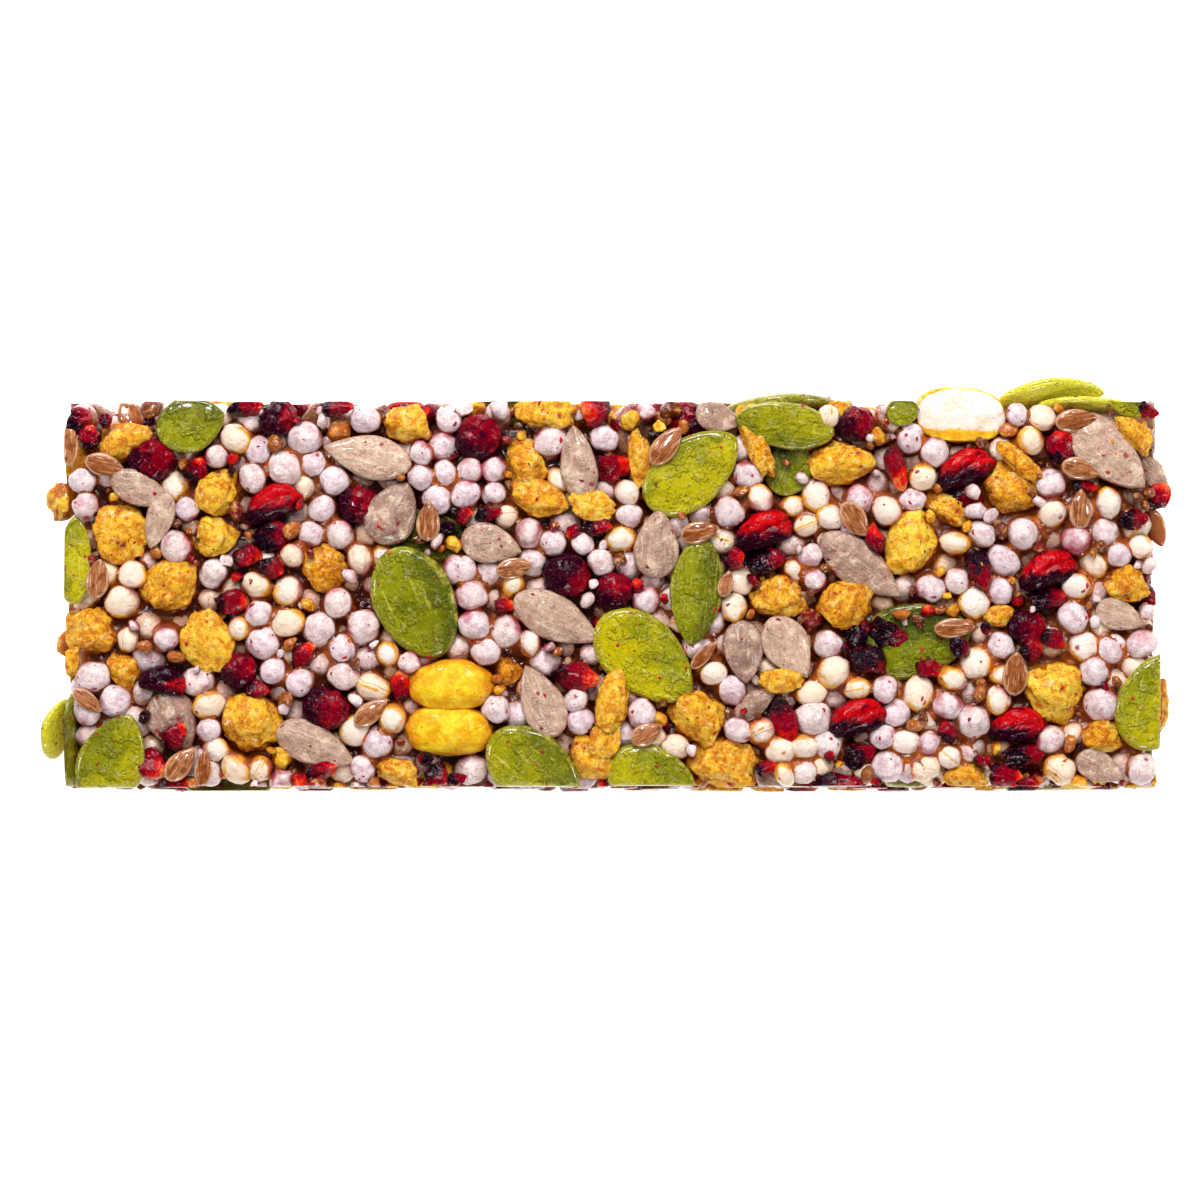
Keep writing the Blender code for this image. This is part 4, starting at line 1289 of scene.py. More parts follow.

# %% [markdown]
# ## Kernels and seeds
#
# Pumpkin kernels are satin green, from yellow green to olive, darker towards one side, with a pale edge. Where
# the knife went through, their flesh is pale. Sunflower kernels are grey and beige and faintly ridged. Flax
# seeds are glossy brown with a light rim. How yellow or how grey each kernel on top is was read one by one.


# %% The pumpkin kernels' finish
def pumpkin_finish():
    look = Finish("pumpkin_kernel", {"Coat Roughness": 0.10, "IOR": 1.47, "Specular IOR Level": 0.26})
    x, y, _ = look.parts(look.attribute("local", "Vector"))
    tint = look.attribute("tint")
    bright = look.mix(tint, tone(120, 126, 0), tone(192, 176, 0))
    dull = look.mix(tint, tone(66, 78, 0), tone(138, 138, 0))
    wander = look.noise(0.35, 2.0) - 0.5
    along = look.node("ShaderNodeCombineXYZ", {}, {0: x * 2.0, 1: y * 22.0, 2: tint * 9.0})
    lines = look.noise(1.0, 2.0, 0.5, along)
    mottle = look.noise(1.2, 3.0, 0.65)
    colour = look.mix((y * 0.9 + x * 0.3 + wander * 1.4 + lines * 0.2).step(-0.10, 0.44), bright, dull)
    edge = (x * x + y * y * 1.15).step(0.19, 0.24)
    colour = look.mix(edge * look.noise(0.8, 2.0).step(0.4, 0.6) * 0.6, colour, tone(196, 182, 70))
    bloom = look.noise(0.9, 3.0, 0.6).step(0.56, 0.70)
    colour = look.mix(bloom * 0.35, colour, tone(186, 178, 108))
    grit = look.noise(3.4, 4.0, 0.75)
    colour = look.mix(grit.step(0.50, 0.38) * 0.45, colour, tone(88, 92, 0))
    colour = look.mix(grit.step(0.56, 0.68) * 0.5, colour, tone(218, 206, 66))
    streaks = (lines * 0.7 + mottle * 0.3).step(0.56, 0.66)
    colour = look.mix(streaks * 0.35, colour, tone(222, 210, 84))
    colour = look.mix(look.noise(1.6, 2.0).step(0.66, 0.74) * 0.6, colour, tone(104, 70, 14))
    flesh = look.mix(look.noise(1.5, 2.0), tone(214, 204, 130), tone(176, 170, 66))
    colour = look.mix(look.attribute("cut"), colour, flesh)
    ripples = glazed(look, 0.34, 0.08, 0.6, 0.45, 0.55, (0.985, 0.93))
    look.bump(lines * 0.3 + grit * 0.15 + mottle * 0.9 + ripples * 2.3, 0.16)
    # The colour round the flanks: painted shade, dark olive, on the duller kernels, and painted light, bright yellow
    # green, on the brighter ones and those that stand on edge.
    rim = look.mix(tint.step(0.6, 1.0), tone(92, 82, 4), tone(212, 200, 20))
    colour = soaked_and_shaded(look, colour, (0.40, 0.38, 0.14, 1.0), rim=rim)
    # Painted light: kernels with a tint past 1, which jut out on edge, are made pale and bright as if the lamps faced
    # them.
    colour = look.mix(tint.step(1.0, 2.0) * 0.75, colour, tone(240, 232, 70))
    return finished(look, dusted(look, colour, 0.20))


# %% The sunflower kernels' finish
def sunflower_finish():
    look = Finish("sunflower_kernel", {"Coat Roughness": 0.12, "IOR": 1.47, "Specular IOR Level": 0.3, **SOFT})
    x, y, z = look.parts(look.attribute("local", "Vector"))
    tint = look.attribute("tint")
    along = look.node("ShaderNodeCombineXYZ", {}, {0: x * 2.5, 1: y * 10.0, 2: tint * 9.0 + z * 2.0})
    lines = look.noise(1.0, 3.0, 0.55, along)
    pale = look.mix(tint, tone(216, 184, 162), tone(178, 142, 126))
    grey = look.mix(tint, tone(190, 152, 130), tone(134, 100, 88))
    mottle = look.noise(0.7, 3.0, 0.6)
    colour = look.mix((lines * 0.5 + mottle * 0.5).step(0.42, 0.60), pale, grey)
    colour = look.mix(lines.step(0.56, 0.70) * 0.6, colour, tone(238, 218, 196))
    colour = look.mix(mottle.step(0.44, 0.34) * 0.5, colour, tone(236, 216, 190))
    grit = look.noise(4.0, 3.0, 0.7)
    colour = look.mix(grit.step(0.48, 0.36) * 0.5, colour, tone(148, 110, 84))
    colour = look.mix(grit.step(0.58, 0.70) * 0.5, colour, tone(246, 230, 216))
    tip = x.step(0.36, 0.48)
    colour = look.mix(tip * 0.5, colour, tone(150, 112, 70))
    colour = look.mix(look.noise(1.7, 2.0).step(0.66, 0.74) * 0.4, colour, tone(160, 112, 56))
    colour = look.mix(look.attribute("cut"), colour, tone(232, 222, 196))
    ripples = glazed(look, 0.40, 0.09, 0.5, 0.5, 0.45, (0.95, 0.80))
    look.bump(lines * 0.9 + grit * 0.2 + look.noise(1.4, 1.0) * 0.8 + ripples * 1.2, 0.13)
    return finished(look, dusted(look, soaked_and_shaded(look, colour, rim=tone(132, 80, 42), juice=0.5), 0.50))


# %% The flax seeds' finish
def flax_finish():
    look = Finish("flax_seed", {"Coat Roughness": 0.08, "IOR": 1.5, "Coat Weight": 0.9})
    x, y, _ = look.parts(look.attribute("local", "Vector"))
    tint = look.attribute("tint")
    brown = look.mix(tint, tone(146, 74, 26), tone(184, 122, 78))
    along = look.node("ShaderNodeCombineXYZ", {}, {0: x * 3.0, 1: y * 12.0, 2: tint * 9.0})
    lines = look.noise(1.0, 3.0, 0.6, along)
    colour = look.mix(look.noise(1.1, 3.0, 0.6).step(0.44, 0.64) * 0.8, brown, tone(116, 52, 14))
    colour = look.mix(lines.step(0.48, 0.36) * 0.7, colour, tone(104, 44, 10))
    colour = look.mix(lines.step(0.54, 0.66) * 0.7, colour, tone(222, 168, 126))
    edge = (x * x + y * y * 1.2).step(0.170, 0.240)
    colour = look.mix(edge * 0.65, colour, tone(222, 172, 132))
    colour = look.mix(look.attribute("cut"), colour, tone(236, 220, 190))
    look.set("Roughness", 0.10 + look.noise(3.0, 1.0) * 0.16)
    look.bump(lines * 0.8 + look.noise(2.6, 2.0), 0.07)
    return finished(look, soaked_and_shaded(look, colour))


# %% Lay the kernels and seeds
def of_kind(*kinds):
    return [p for p in large if p.kind in kinds]


# How yellow each pumpkin kernel on top is, and how grey each sunflower kernel, in the order of their lists.
# The kernels that jut out come last. Past 1 they are a pale, bright yellow green: painted light on kernels that stand
# on edge with their sides turned from the lamps
PUMPKIN_TINTS_AND_PAINTED_LIGHT = (
    *(0.2, 0.95, 0.15, 0.0, 0.6, 0.5, 0.4, 1.0, 0.7, 0.2, 0.9, 0.45, 0.1, 0.0, 0.95, 0.3, 0.4),
    *(0.7, 2.0, 2.0, 1.5),
)
SUNFLOWER_TINTS = (0.5, 0.4, 0.0, 0.9, 0.5, 0.6, 0.4, 0.3, 0.5, 1.0, 0.6, 0.95, 0.1, 0.8, 0.25)
green = pumpkin_finish()
grey = sunflower_finish()
lay_kind("pumpkin_kernels", of_kind("pumpkin"), pumpkin_forms, green, draw, "pumpkin_kernel", PUMPKIN_TINTS_AND_PAINTED_LIGHT)
lay_kind("sunflower_kernels", of_kind("sunflower"), sunflower_forms, grey, draw, "sunflower_kernel", SUNFLOWER_TINTS)
lay_kind("flax_seeds", of_kind("flax"), flax_forms, flax_finish(), draw, "flax_seed")

# %% [markdown]
# ## Dried fruit, berries and corn
#
# The fruit is golden and crumbly, lit from inside where it is thin, and orange brown where syrup soaks it and
# in painted shade round its flanks. Berries are crimson with a purple side that is partly their own colour and
# partly painted shade. Their shreds run from nearly black to bright red. The corn is a clear, warm yellow, turned
# orange round its flanks as painted shade.


# %% The fruit's finish
def fruit_finish():
    glow = {"Subsurface Weight": 0.40, "Subsurface Radius": (1.0, 0.55, 0.15), "Subsurface Scale": 0.0009}
    look = Finish("crumbly_fruit", {**glow, "Coat Roughness": 0.2, "IOR": 1.46})
    tint = look.attribute("tint")
    lumps = look.noise(1.2, 3.0, 0.6)
    grit = look.noise(3.2, 4.0, 0.72, twist=0.5)
    light = look.mix(tint, tone(236, 166, 0), tone(255, 214, 62))
    shade = look.mix(tint, tone(198, 106, 0), tone(232, 156, 8))
    flakes = look.noise(0.9, 4.0, 0.7, twist=1.2)
    colour = look.mix(lumps.step(0.60, 0.38), light, shade)
    colour = look.mix(flakes.step(0.54, 0.64) * 0.6, colour, tone(255, 226, 130))
    colour = look.mix(flakes.step(0.46, 0.36) * 0.75, colour, tone(184, 86, 0))
    colour = look.mix(grit.step(0.44, 0.32) * 0.5, colour, tone(196, 102, 0))
    colour = look.mix(grit.step(0.54, 0.66) * 0.75, colour, tone(255, 228, 130))
    # Painted shade: orange brown round the flanks and in the low parts of the lumps, where the chunk turns into the
    # gaps.
    hollow_shade = (look.attribute("facing") + (lumps - 0.5) * 0.8).step(0.68, 0.20)
    colour = look.mix(hollow_shade * 0.6, colour, tone(190, 90, 0))
    colour = look.mix(look.attribute("cut") * 0.6, colour, tone(242, 190, 60))
    ripples = glazed(look, 0.50, 0.13, 0.4, 0.5, 0.40)
    look.bump(grit * 0.6 + lumps * 0.7 + flakes * 1.1 + ripples * 0.4, 0.27)
    return finished(look, dusted(look, soaked_and_shaded(look, colour, (0.66, 0.40, 0.20, 1.0), rim=tone(182, 92, 10)), 0.22))


# %% The berries' finish
def berry_finish(name, lobes):
    """Crimson with a purple side, partly the berry's own colour and partly painted shade, and bright patches on the
    other side, partly painted highlight. With lobes at 1, the side above a berry's fold is bright and the other dark.
    """
    look = Finish(name, {"Coat Roughness": 0.06, "IOR": 1.48, "Subsurface Weight": 0.08, "Specular IOR Level": 0.13,
                         "Subsurface Radius": (1.0, 0.1, 0.1), "Subsurface Scale": 0.0006})
    x, y, _ = look.parts(look.attribute("local", "Vector"))
    wander = look.noise(0.8, 3.0, 0.6) - 0.5
    dark = look.attribute("tint").step(0.90, 0.94) * 0.5
    # The dark purple side: partly the berry's own colour, partly painted shade.
    side = (x * (1 - 0.4 * lobes) + y * lobes * 1.1 + wander * 0.9).step(-0.26, 0.24)
    side = side * (1 - (y * 1.4 - x + 0.5).step(0.2, 0.5) * dark * 2)
    colour = look.mix(side, tone(36, 0, 18), tone(122 + 64 * lobes, 0, 22 - 14 * lobes))
    # Bright red patches on the other side: partly the berry's own colour, partly painted highlight.
    bright = look.noise(1.2, 3.0, 0.6).step(0.50, 0.66) * side
    colour = look.mix(bright * 0.8, colour, tone(176 + 40 * lobes, 8 + 10 * lobes, 24))
    colour = look.mix(look.noise(1.1, 4.0, 0.7, twist=0.8).step(0.55, 0.64) * 0.85, colour, tone(34, 0, 22))
    grit = look.noise(5.0, 2.0)
    colour = look.mix(grit.step(0.56, 0.70) * (0.3 - 0.2 * lobes), colour, tone(186, 26, 50))
    # Painted shade: darker round the flanks, where the berry turns into the gaps.
    flank = (look.attribute("facing") + wander * 0.8).step(0.60, 0.15)
    colour = look.mix(flank * 0.8, colour, tone(48, 0, 22))
    colour = look.mix(look.attribute("cut"), colour, tone(196, 30, 36))
    ripples = glazed(look, 0.15, 0.06, 0.2, 0.8, 0.50)
    look.bump(look.noise(1.4, 1.0) + grit * 0.06 + ripples * 0.8, 0.13)
    return finished(look, colour)


# %% The shreds' finish
def shred_finish():
    look = Finish("berry_shred", {"Coat Roughness": 0.07, "IOR": 1.5, "Specular IOR Level": 0.16})
    x = look.parts(look.attribute("local", "Vector"))[0]
    tint = look.attribute("tint")
    along = x * 1.2 + (look.noise(1.0, 3.0, 0.6) - 0.5) * 1.1 + tint * 0.5 - 0.25
    colour = look.mix(along.step(-0.34, 0.02), tone(14, 2, 16), tone(132, 0, 22))
    colour = look.mix(along.step(0.26, 0.50), colour, tone(212, 22, 12))
    colour = look.mix(along.step(0.52, 0.78) * 0.7, colour, tone(244, 144, 70))
    colour = look.mix(look.noise(1.6, 4.0, 0.7).step(0.58, 0.66) * 0.8, colour, tone(30, 0, 22))
    colour = look.mix(look.noise(4.0, 3.0).step(0.58, 0.70) * 0.35, colour, tone(206, 34, 46))
    ripples = glazed(look, 0.14, 0.06, 0.2, 0.9, 0.50)
    look.bump(look.noise(1.6, 1.5, 0.6) * 1.2 + ripples * 0.8, 0.14)
    return finished(look, soaked_and_shaded(look, colour, (0.6, 0.4, 0.4, 1.0), rim=tone(72, 4, 16)))


# %% The corn's finish
def corn_finish(name, opened):
    """Yellow and mealy. With opened at 1 the upper side is a white cut face, with the skin left round it."""
    glow = {"Subsurface Weight": 0.25, "Subsurface Radius": (1.0, 0.6, 0.1), "Subsurface Scale": 0.001}
    look = Finish(name, {**glow, "Coat Roughness": 0.12, "IOR": 1.47})
    x, y, z = look.parts(look.attribute("local", "Vector"))
    wander = look.noise(0.8, 3.0, 0.6) - 0.5
    grit = look.noise(3.2, 4.0, 0.75)
    colour = look.mix((wander + 0.5).step(0.40, 0.58), tone(248, 210, 34), tone(232, 172, 0))
    colour = look.mix((x.size() + wander * 0.3).step(0.30, 0.46) * (0.8 - 0.6 * opened), colour, tone(218, 128, 6))
    # Painted shade: orange round the flanks, where the lobe turns into the gaps.
    flank = (look.attribute("facing") + wander * 0.5).step(0.80, 0.35)
    colour = look.mix(flank * 0.8, colour, tone(214, 130, 4))
    colour = look.mix(grit.step(0.48, 0.34) * 0.6, colour, tone(216, 132, 0))
    colour = look.mix(grit.step(0.56, 0.68) * 0.7, colour, tone(252, 226, 120))
    colour = look.mix(look.attribute("cut"), colour, tone(250, 240, 214))
    inside = (x * x + y * y + wander * 0.04).step(0.238, 0.218)
    white = (z + wander * 0.10).step(0.09, 0.13) * (y + wander * 0.2).step(-0.30, -0.22) * inside
    face = look.mix((wander + 0.5).step(0.45, 0.65), tone(253, 240, 232), tone(248, 228, 206))
    colour = look.mix(white * opened, colour, face)
    ripples = glazed(look, 0.44, 0.13, 0.4, 0.5, 0.40)
    look.bump(grit * 0.4 + look.noise(1.3, 2.0) + ripples * 0.5, 0.22)
    return finished(look, dusted(look, soaked_and_shaded(look, colour, rim=tone(190, 104, 6)), 0.35 - 0.3 * opened))


# %% Lay the fruit, berries and corn
# How pale each chunk of fruit on top is, from brown to a pale yellow, in the order of their list
FRUIT_TINTS = (
    *(0.3, 0.4, 0.3, 0.6, 0.2, 0.0, 0.2, 0.45, 0.6, 0.8, 0.5, 0.6, 0.3),
    *(0.3, 0.7, 0.0, 0.6, 0.3, 0.4, 0.3, 0.3, 0.5, 0.3, 0.1, 1.0, 0.1),
    *(0.1, 0.2, 0.3, 1.0, 0.1, 0.6, 0.3, 0.4, 0.3, 0.4, 0.0, 0.4, 0.3),
)
fruit_look = fruit_finish()
shred_look = shred_finish()
lay_kind("fruit_chunks", of_kind("fruit"), fruit_forms, fruit_look, draw, "dried_fruit", FRUIT_TINTS)
# One long berry near the left end is nearly black but for its right tip
BEAN_TINTS = (0.5, 0.5, 0.5, 0.5, 0.5, 0.5, 1.0)
lay_kind("round_berries", of_kind("berry"), berry_forms, berry_finish("round_berry", 0.0), draw, "berry")
lay_kind("long_berries", of_kind("bean"), bean_forms, berry_finish("long_berry", 1.0), draw, "berry", BEAN_TINTS)
# The folded dark leaves by the deep pumpkin kernel come first in the list, then the pieces below the long berries
SHRED_TINTS = (-0.5, -0.45, -0.6, -0.2, -0.1, -0.2, -0.1, -0.2, -0.15, 0.7, 0.8)
lay_kind("berry_shreds", of_kind("shred"), shred_forms, shred_look, draw, "berry", SHRED_TINTS)
# The corn that juts out past the far side is cut open
CORN_INSIDE = 0.8 * HALF[1]
whole_corn = [p for p in of_kind("corn") if abs(p.at[1]) < CORN_INSIDE]
cut_corn = [p for p in of_kind("corn") if abs(p.at[1]) >= CORN_INSIDE]
lay_kind("corn_lobes", whole_corn, corn_forms, corn_finish("sweet_corn", 0.0), draw, "sweet_corn")
lay_kind("cut_corn", cut_corn, halved_forms, corn_finish("opened_corn", 1.0), draw, "sweet_corn")

# %% [markdown]
# The small bits in the holes are broken grains, fruit and berry, and lumps of hardened glaze. Each gets one of
# those finishes by a draw.


# %% The glaze lumps' finish
def lump_finish():
    clear = {"Subsurface Weight": 0.3, "Subsurface Radius": (1.0, 0.4, 0.1), "Subsurface Scale": 0.0008}
    look = Finish("hardened_glaze", {**clear, "Coat Roughness": 0.1, "IOR": 1.5, "Specular IOR Level": 0.5})
    tint = look.attribute("tint")
    colour = look.mix(tint.step(0.2, 0.8), tone(104, 42, 14), tone(186, 100, 28))
    colour = look.mix(tint.step(0.82, 0.88), colour, tone(128, 16, 26))
    colour = look.mix(look.noise(1.6, 3.0).step(0.52, 0.68) * 0.7, colour, tone(222, 156, 76))
    ripples = glazed(look, 0.20, 0.08, 0.4, 0.9, 0.60)
    look.bump(look.noise(1.7, 1.5, 0.6) + ripples, 0.13)
    return finished(look, dusted(look, soaked_and_shaded(look, colour, rim=tone(96, 38, 14)), 0.4))


# %% Lay the small bits
bit_share = [draw.random() for _ in bits]
for name, low, high, look, slot in (
    ("grain_bits", 0.0, 0.26, lilac_look, "puffed_grain"),
    ("fruit_bits", 0.26, 0.42, fruit_look, "dried_fruit"),
    ("glaze_bits", 0.42, 0.80, lump_finish(), "syrup"),
    ("berry_bits", 0.80, 1.0, shred_look, "berry"),
):
    lay_kind(name, [b for b, share in zip(bits, bit_share) if low <= share < high], bit_forms, look, draw, slot)

# %% [markdown]
# ## The syrup
#
# Syrup clings in the creases between the pieces and fills the bar's middle. A coarse ball for every piece but
# the thin kernels, a little smaller than the real piece, is joined to a plain block, and a voxel remesh makes
# one skin of it all. Smoothing then rounds that skin: it draws back from what stands proud and builds up in the
# creases, as syrup does. Its colour comes from the nearest piece, green by a pumpkin kernel and red by a berry.

# %% Sizes of the syrup
# How large the coarse balls are beside their grains, and beside the larger chunks
GRAIN_SHARE = 0.90
CHUNK_SHARE = 0.70
# The remesh's voxel in millimetres, the rounds of smoothing, and the most triangles that are kept
SYRUP_VOXEL = 0.46
SYRUP_EASE = 7
SYRUP_TRIANGLES = 180000
SYRUP_LOWEST = 0.05
SYRUP_TONES = {
    "grain": tone(150, 70, 26),
    "pumpkin": tone(56, 50, 4),
    "sunflower": tone(112, 60, 28),
    "flax": tone(90, 40, 14),
    "fruit": tone(176, 88, 10),
    "berry": tone(90, 2, 14),
    "bean": tone(104, 4, 12),
    "shred": tone(88, 2, 12),
    "corn": tone(180, 98, 4),
}


# %% Pour the syrup
def plain_copy(name, pieces, share):
    """A coarse ball for each piece, cut like the piece itself."""
    values = {"Forms": plain_forms, "Swell": share}
    copy = run_tree(cloud(name, pieces, random.Random(1)), laying, values, name)
    cut_and_measure(copy)
    return copy.data


def syrup_body():
    """The core and the coarse balls, in one mesh but not yet joined."""
    together = bmesh.new()
    bmesh.ops.create_cube(together, size=1.0)
    size = Vector((LENGTH - 2 * CORE_IN, WIDTH - 2 * CORE_IN, THICK - CORE_IN - CORE_UP))
    bmesh.ops.scale(together, vec=size * MM, verts=together.verts)
    bmesh.ops.translate(together, vec=(0, 0, (size.z / 2 + CORE_UP) * MM), verts=together.verts)
    together.from_mesh(plain_copy("grain_balls", grains, GRAIN_SHARE))
    together.from_mesh(plain_copy("chunk_balls", of_kind("fruit", "berry", "bean", "shred"), CHUNK_SHARE))
    data = bpy.data.meshes.new("syrup")
    together.to_mesh(data)
    together.free()
    return bpy.data.objects.new("syrup", data)


def skinned(body):
    """Joins the body into one smooth skin, with no more triangles than are allowed."""
    skin = body.modifiers.new("skin", "REMESH")
    skin.mode = "VOXEL"
    skin.voxel_size = SYRUP_VOXEL * MM
    ease = body.modifiers.new("ease", "SMOOTH")
    ease.factor = 0.5
    ease.iterations = SYRUP_EASE
    bpy.context.scene.collection.objects.link(body)
    graph = bpy.context.evaluated_depsgraph_get()
    full = body.evaluated_get(graph)
    count = sum(len(face.vertices) - 2 for face in full.data.polygons)
    if count > SYRUP_TRIANGLES:
        thin = body.modifiers.new("thin", "DECIMATE")
        thin.ratio = SYRUP_TRIANGLES / count
    graph = bpy.context.evaluated_depsgraph_get()
    data = bpy.data.meshes.new_from_object(body.evaluated_get(graph), depsgraph=graph)
    body.modifiers.clear()
    body.data = data
    data.shade_smooth()
    print("syrup", count, "triangles before thinning,", len(data.polygons), "faces after")


syrup = syrup_body()
skinned(syrup)

# %% [markdown]
# The nearest pieces tell each point of the syrup its colour. A tree of their centres finds them quickly, and
# three neighbours share the colour, so that it runs from one to the next.


# %% Colour the syrup
def colour_syrup(body):
    """Gives each point the mixed tone of its three nearest pieces, and its depth under the slab's faces."""
    near = kdtree.KDTree(len(large) + len(grains))
    all_pieces = large + grains
    for number, piece in enumerate(all_pieces):
        near.insert(piece.at, number)
    near.balance()
    data = body.data
    at = np.empty(3 * len(data.vertices), np.float32)
    data.vertices.foreach_get("co", at)
    at = at.reshape(-1, 3) / MM
    at[:, 2] = np.maximum(at[:, 2], SYRUP_LOWEST)
    colours = np.ones((len(at), 4), np.float32)
    for i, place in enumerate(at):
        total = 0.0
        mixed = np.zeros(3)
        for _, number, gap in near.find_n(place, 3):
            weight = 1 / (0.2 + max(0.0, gap - 0.35 * all_pieces[number].size[0])) ** 2
            mixed += weight * np.array(SYRUP_TONES[all_pieces[number].kind][:3])
            total += weight
        colours[i, :3] = mixed / total
    data.attributes.new("near", "FLOAT_COLOR", "POINT").data.foreach_set("color", colours.ravel())
    data.attributes.new("depth", "FLOAT", "POINT").data.foreach_set("value", face_depth(at).astype(np.float32))
    data.vertices.foreach_set("co", (at * MM).astype(np.float32).ravel())
    data.update()


def syrup_finish():
    look = Finish("amber_syrup", {"Coat Roughness": 0.10, "IOR": 1.49, "Specular IOR Level": 0.5})
    near = look.attribute("near", "Color")
    depth = look.attribute("depth") + (look.noise(0.6, 2.0) - 0.5) * 1.6
    right = look.parts(look.place)[0].step(18, 44)
    colour = look.mix(look.noise(0.9, 3.0).step(0.46, 0.62) * 0.7, near, tone(196, 96, 24))
    colour = look.mix(look.noise(2.6, 3.0, 0.7).step(0.56, 0.70) * 0.5, colour, tone(226, 150, 64))
    # Dark patches, fewer towards the right end: painted shade in the gaps.
    dark = look.noise(0.45, 3.0, twist=0.5).step(0.46, 0.34)
    colour = look.mix(dark * (0.85 - right * 0.5), colour, tone(44, 14, 8))
    # Painted shade: the syrup darkens the deeper it lies below the face, less so towards the right end.
    deep = look.mix(1.0, near, (0.20, 0.05, 0.03, 1.0), "MULTIPLY")
    colour = look.mix((depth - right * 0.8).step(1.3, 2.8), colour, deep)
    look.set("Roughness", 0.06 + look.noise(1.6, 2.0) * 0.14)
    look.set("Coat Weight", look.noise(1.1, 2.0).step(0.48, 0.60) * 0.5)
    look.bump(look.noise(1.5, 2.0, 0.6, twist=0.8), 0.17)
    return finished(look, dusted(look, colour, 0.4))


colour_syrup(syrup)
syrup.data.materials.clear()
syrup.data.materials.append(syrup_finish())
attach(syrup, "root")
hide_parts("seed_bar")

# %% [markdown]
# ## Crumbs
#
# Crushed berry and bran stick to the glaze as small flakes. A second tree scatters points on the surfaces of the
# grains, kernels, fruit and syrup near the slab's faces, and lays a flake flat on each.


# %% The tree that scatters crumbs
# A crumb's least and most length, width and thickness, as shares of its size
CRUMB_LEAST = (0.7, 0.5, 0.3)
CRUMB_MOST = (1.5, 1.0, 0.6)


def crumb_tree():
    inputs = {"Surface": "Geometry", "Crumb": "Object", "Finish": "Material", "Per square metre": "Float"}
    inputs.update({"Least size": "Float", "Most size": "Float", "Deepest": "Float", "Seed": "Int"})
    tree = new_tree("scatter_crumbs", inputs, "Crumbs")
    add = tree.nodes.new
    link = tree.links.new
    inward = add("NodeGroupInput")
    depth = add("GeometryNodeInputNamedAttribute")
    depth.data_type = "FLOAT"
    depth.inputs["Name"].default_value = "depth"
    shallow = add("FunctionNodeCompare")
    shallow.operation = "LESS_THAN"
    spread = add("GeometryNodeDistributePointsOnFaces")
    crumb = add("GeometryNodeObjectInfo")
    size = add("FunctionNodeRandomValue")
    length = add("FunctionNodeRandomValue")
    length.data_type = "FLOAT_VECTOR"
    length.inputs[0].default_value = CRUMB_LEAST
    length.inputs[1].default_value = CRUMB_MOST
    scaled = add("ShaderNodeVectorMath")
    scaled.operation = "SCALE"
    lay = add("GeometryNodeInstanceOnPoints")
    tint = add("FunctionNodeRandomValue")
    keep = add("GeometryNodeStoreNamedAttribute")
    keep.data_type = "FLOAT"
    keep.domain = "INSTANCE"
    keep.inputs["Name"].default_value = "tint"
    real = add("GeometryNodeRealizeInstances")
    coat = add("GeometryNodeSetMaterial")
    outward = add("NodeGroupOutput")
    link(depth.outputs["Attribute"], shallow.inputs[0])
    link(inward.outputs["Deepest"], shallow.inputs[1])
    link(inward.outputs["Surface"], spread.inputs["Mesh"])
    link(shallow.outputs["Result"], spread.inputs["Selection"])
    link(inward.outputs["Per square metre"], spread.inputs["Density"])
    link(inward.outputs["Seed"], spread.inputs["Seed"])
    link(inward.outputs["Crumb"], crumb.inputs["Object"])
    link(inward.outputs["Least size"], size.inputs[2])
    link(inward.outputs["Most size"], size.inputs[3])
    link(inward.outputs["Seed"], size.inputs["Seed"])
    link(length.outputs[0], scaled.inputs[0])
    link(size.outputs[1], scaled.inputs["Scale"])
    link(spread.outputs["Points"], lay.inputs["Points"])
    link(spread.outputs["Rotation"], lay.inputs["Rotation"])
    link(crumb.outputs["Geometry"], lay.inputs["Instance"])
    link(scaled.outputs["Vector"], lay.inputs["Scale"])
    link(lay.outputs["Instances"], keep.inputs["Geometry"])
    link(tint.outputs[1], keep.inputs["Value"])
    link(keep.outputs["Geometry"], real.inputs["Geometry"])
    link(real.outputs["Geometry"], coat.inputs["Geometry"])
    link(inward.outputs["Finish"], coat.inputs["Material"])
    link(coat.outputs["Geometry"], outward.inputs["Crumbs"])
    return tree


# %% The crumbs' finish
def crumb_finish():
    look = Finish("crushed_berry", {"Coat Roughness": 0.1, "Coat Weight": 0.6, "IOR": 1.5})
    tint = look.attribute("tint")
    colour = look.mix(tint.step(0.1, 0.7), tone(132, 6, 34), tone(192, 18, 40))
    colour = look.mix(tint.step(0.92, 0.95), colour, tone(214, 140, 50))
    look.set("Roughness", 0.35 + look.noise(3.0, 1.0) * 0.2)
    look.bump(look.noise(6.0, 2.0), 0.05, 0.6)
    return finished(look, colour)


# %% Scatter the crumbs
crumb_form = form("crumb_form", 1, torn(3), 3)
crumb_look = crumb_finish()
scatter = crumb_tree()
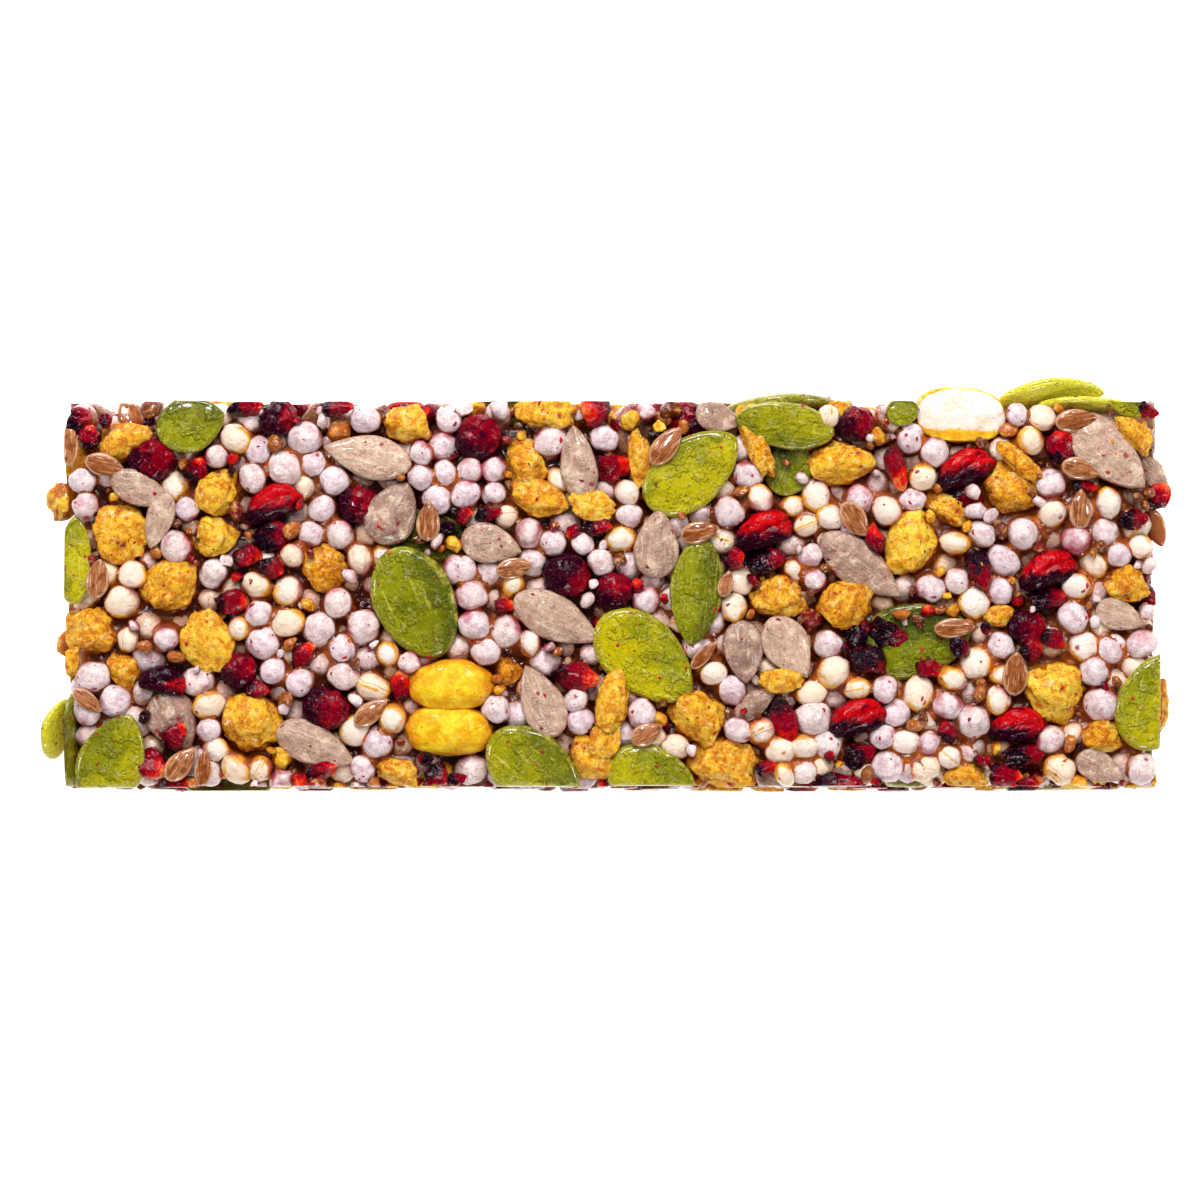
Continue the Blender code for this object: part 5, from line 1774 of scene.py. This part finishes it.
# A crumb's least and most size, and how deep under a face it may still lie, in millimetres
CRUMB_SIZE = (0.16, 0.62)
CRUMB_DEPTH = 1.6
CRUMBS_PER_SQUARE_METRE = {
    "lilac_grains": 140000.0,
    "cream_grains": 60000.0,
    "sunflower_kernels": 170000.0,
    "pumpkin_kernels": 110000.0,
    "fruit_chunks": 110000.0,
    "syrup": 200000.0,
}
gathered = bmesh.new()
for number, (name, density) in enumerate(CRUMBS_PER_SQUARE_METRE.items()):
    ground = bpy.data.objects.new("ground", bpy.data.objects[name].data.copy())
    values = {
        "Crumb": crumb_form,
        "Finish": crumb_look,
        "Per square metre": density,
        "Least size": CRUMB_SIZE[0] * MM,
        "Most size": CRUMB_SIZE[1] * MM,
        "Deepest": CRUMB_DEPTH,
        "Seed": number + 5,
    }
    made = run_tree(ground, scatter, values, f"crumbs_{number}")
    gathered.from_mesh(made.data)
crumb_data = bpy.data.meshes.new("crumbs")
# No crumb reaches below the table
for vertex in gathered.verts:
    vertex.co.z = max(vertex.co.z, 0.0)
gathered.to_mesh(crumb_data)
gathered.free()
crumb_data.materials.append(crumb_look)
crumbs = bpy.data.objects.new("crumbs", crumb_data)
bpy.context.scene.collection.objects.link(crumbs)
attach(crumbs, "root")
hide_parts("seed_bar")
print("crumbs", len(crumb_data.polygons), "faces")

# %% [markdown]
# ## Floor, light and camera
#
# The bar lies on a plain white table. Four soft lights light it from all sides, the one beyond its far side most,
# and four small bright ones there put the broken wet glints on the pieces' far edges. None hangs right above,
# where its reflection would veil the colours. The camera looks straight down from far off.


# %% The table
TABLE_HALF = 0.8


def table():
    top = bmesh.new()
    bmesh.ops.create_grid(top, x_segments=1, y_segments=1, size=TABLE_HALF)
    data = bpy.data.meshes.new("table")
    top.to_mesh(data)
    top.free()
    made = bpy.data.objects.new("table", data)
    white = Finish("white_table", {"Base Color": (0.93, 0.93, 0.93, 1.0), "Roughness": 0.8})
    white.set("Emission Color", (1.0, 1.0, 1.0, 1.0))
    white.set("Emission Strength", 0.85)
    data.materials.append(white.material)
    bpy.context.scene.collection.objects.link(made)


table()


# %% Lights
MIDDLE = (0.0, 0.0, 0.008)
ROOM_LIGHT = 0.05


def soft_light(name, place, size, watts, colour):
    """A rectangular light at that place, turned to the middle of the bar."""
    data = bpy.data.lights.new(name, "AREA")
    data.shape = "RECTANGLE"
    data.size, data.size_y = size
    data.energy = watts
    data.color = colour
    lamp = bpy.data.objects.new(name, data)
    lamp.location = place
    lamp.rotation_euler = (Vector(MIDDLE) - Vector(place)).to_track_quat("-Z", "Y").to_euler()
    bpy.context.scene.collection.objects.link(lamp)


soft_light("far_side", (-0.06, 0.44, 0.34), (0.26, 0.12), 2.2, (1.0, 0.99, 0.975))
soft_light("near_side", (0.10, -0.46, 0.32), (0.16, 0.08), 1.1, (1.0, 0.99, 0.98))
soft_light("left_side", (-0.50, 0.04, 0.32), (0.10, 0.10), 0.7, (1.0, 0.99, 0.98))
soft_light("right_side", (0.50, 0.04, 0.32), (0.10, 0.10), 0.7, (1.0, 0.99, 0.98))
GLINTS = ((-0.20, 0.28, 0.42), (-0.02, 0.21, 0.48), (0.05, 0.34, 0.38), (0.16, 0.28, 0.42))
for number, place in enumerate(GLINTS):
    soft_light(f"glint_{number}", place, (0.03, 0.03), 0.36, (1.0, 1.0, 1.0))

world = bpy.data.worlds.new("studio")
world.use_nodes = True
sky = world.node_tree.nodes["Background"]
sky.inputs["Color"].default_value = (1.0, 1.0, 1.0, 1.0)
sky.inputs["Strength"].default_value = ROOM_LIGHT
bpy.context.scene.world = world
bpy.context.scene.view_settings.view_transform = "Standard"
bpy.context.scene.view_settings.look = "None"

# %% The camera
# The photo's side in pixels, and the camera's lens and film in millimetres
PHOTO_SIDE = 1200
LENS = 120.0
FILM = 36.0
seen = PHOTO_SIDE * MM_PER_PIXEL
away = seen * LENS / FILM
lens = bpy.data.cameras.new("camera")
lens.lens = LENS
lens.sensor_width = FILM
lens.clip_start = 0.01
camera = bpy.data.objects.new("camera", lens)
aim = [(PHOTO_SIDE / 2 - PHOTO_MIDDLE[0]) * MM_PER_PIXEL, (PHOTO_MIDDLE[1] - PHOTO_SIDE / 2) * MM_PER_PIXEL]
camera.location = Vector((aim[0], aim[1], THICK + away)) * MM
bpy.context.scene.collection.objects.link(camera)
bpy.context.scene.camera = camera
print("the camera hangs", round(away), "mm above the bar")

# %% [markdown]
# ## Finish
#
# The forms were only moulds, so they go. The triangles of all that is shown are counted.

# %% Clear the moulds and measure
for shelf in list(bpy.data.collections):
    if shelf.name.endswith("_forms"):
        for mould in list(shelf.objects):
            bpy.data.objects.remove(mould)
        bpy.data.collections.remove(shelf)
for left in list(bpy.data.objects):
    helper = left.name.endswith(("_points", "_balls")) or left.name.startswith(("ground", "crumb"))
    if helper and left is not crumbs:
        bpy.data.objects.remove(left)
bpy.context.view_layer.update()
shown = [o.data for o in bpy.data.objects if o.type == "MESH" and o.name != "table"]
triangles = sum(len(face.vertices) - 2 for data in shown for face in data.polygons)
print("triangles in all, with the solid's:", triangles)
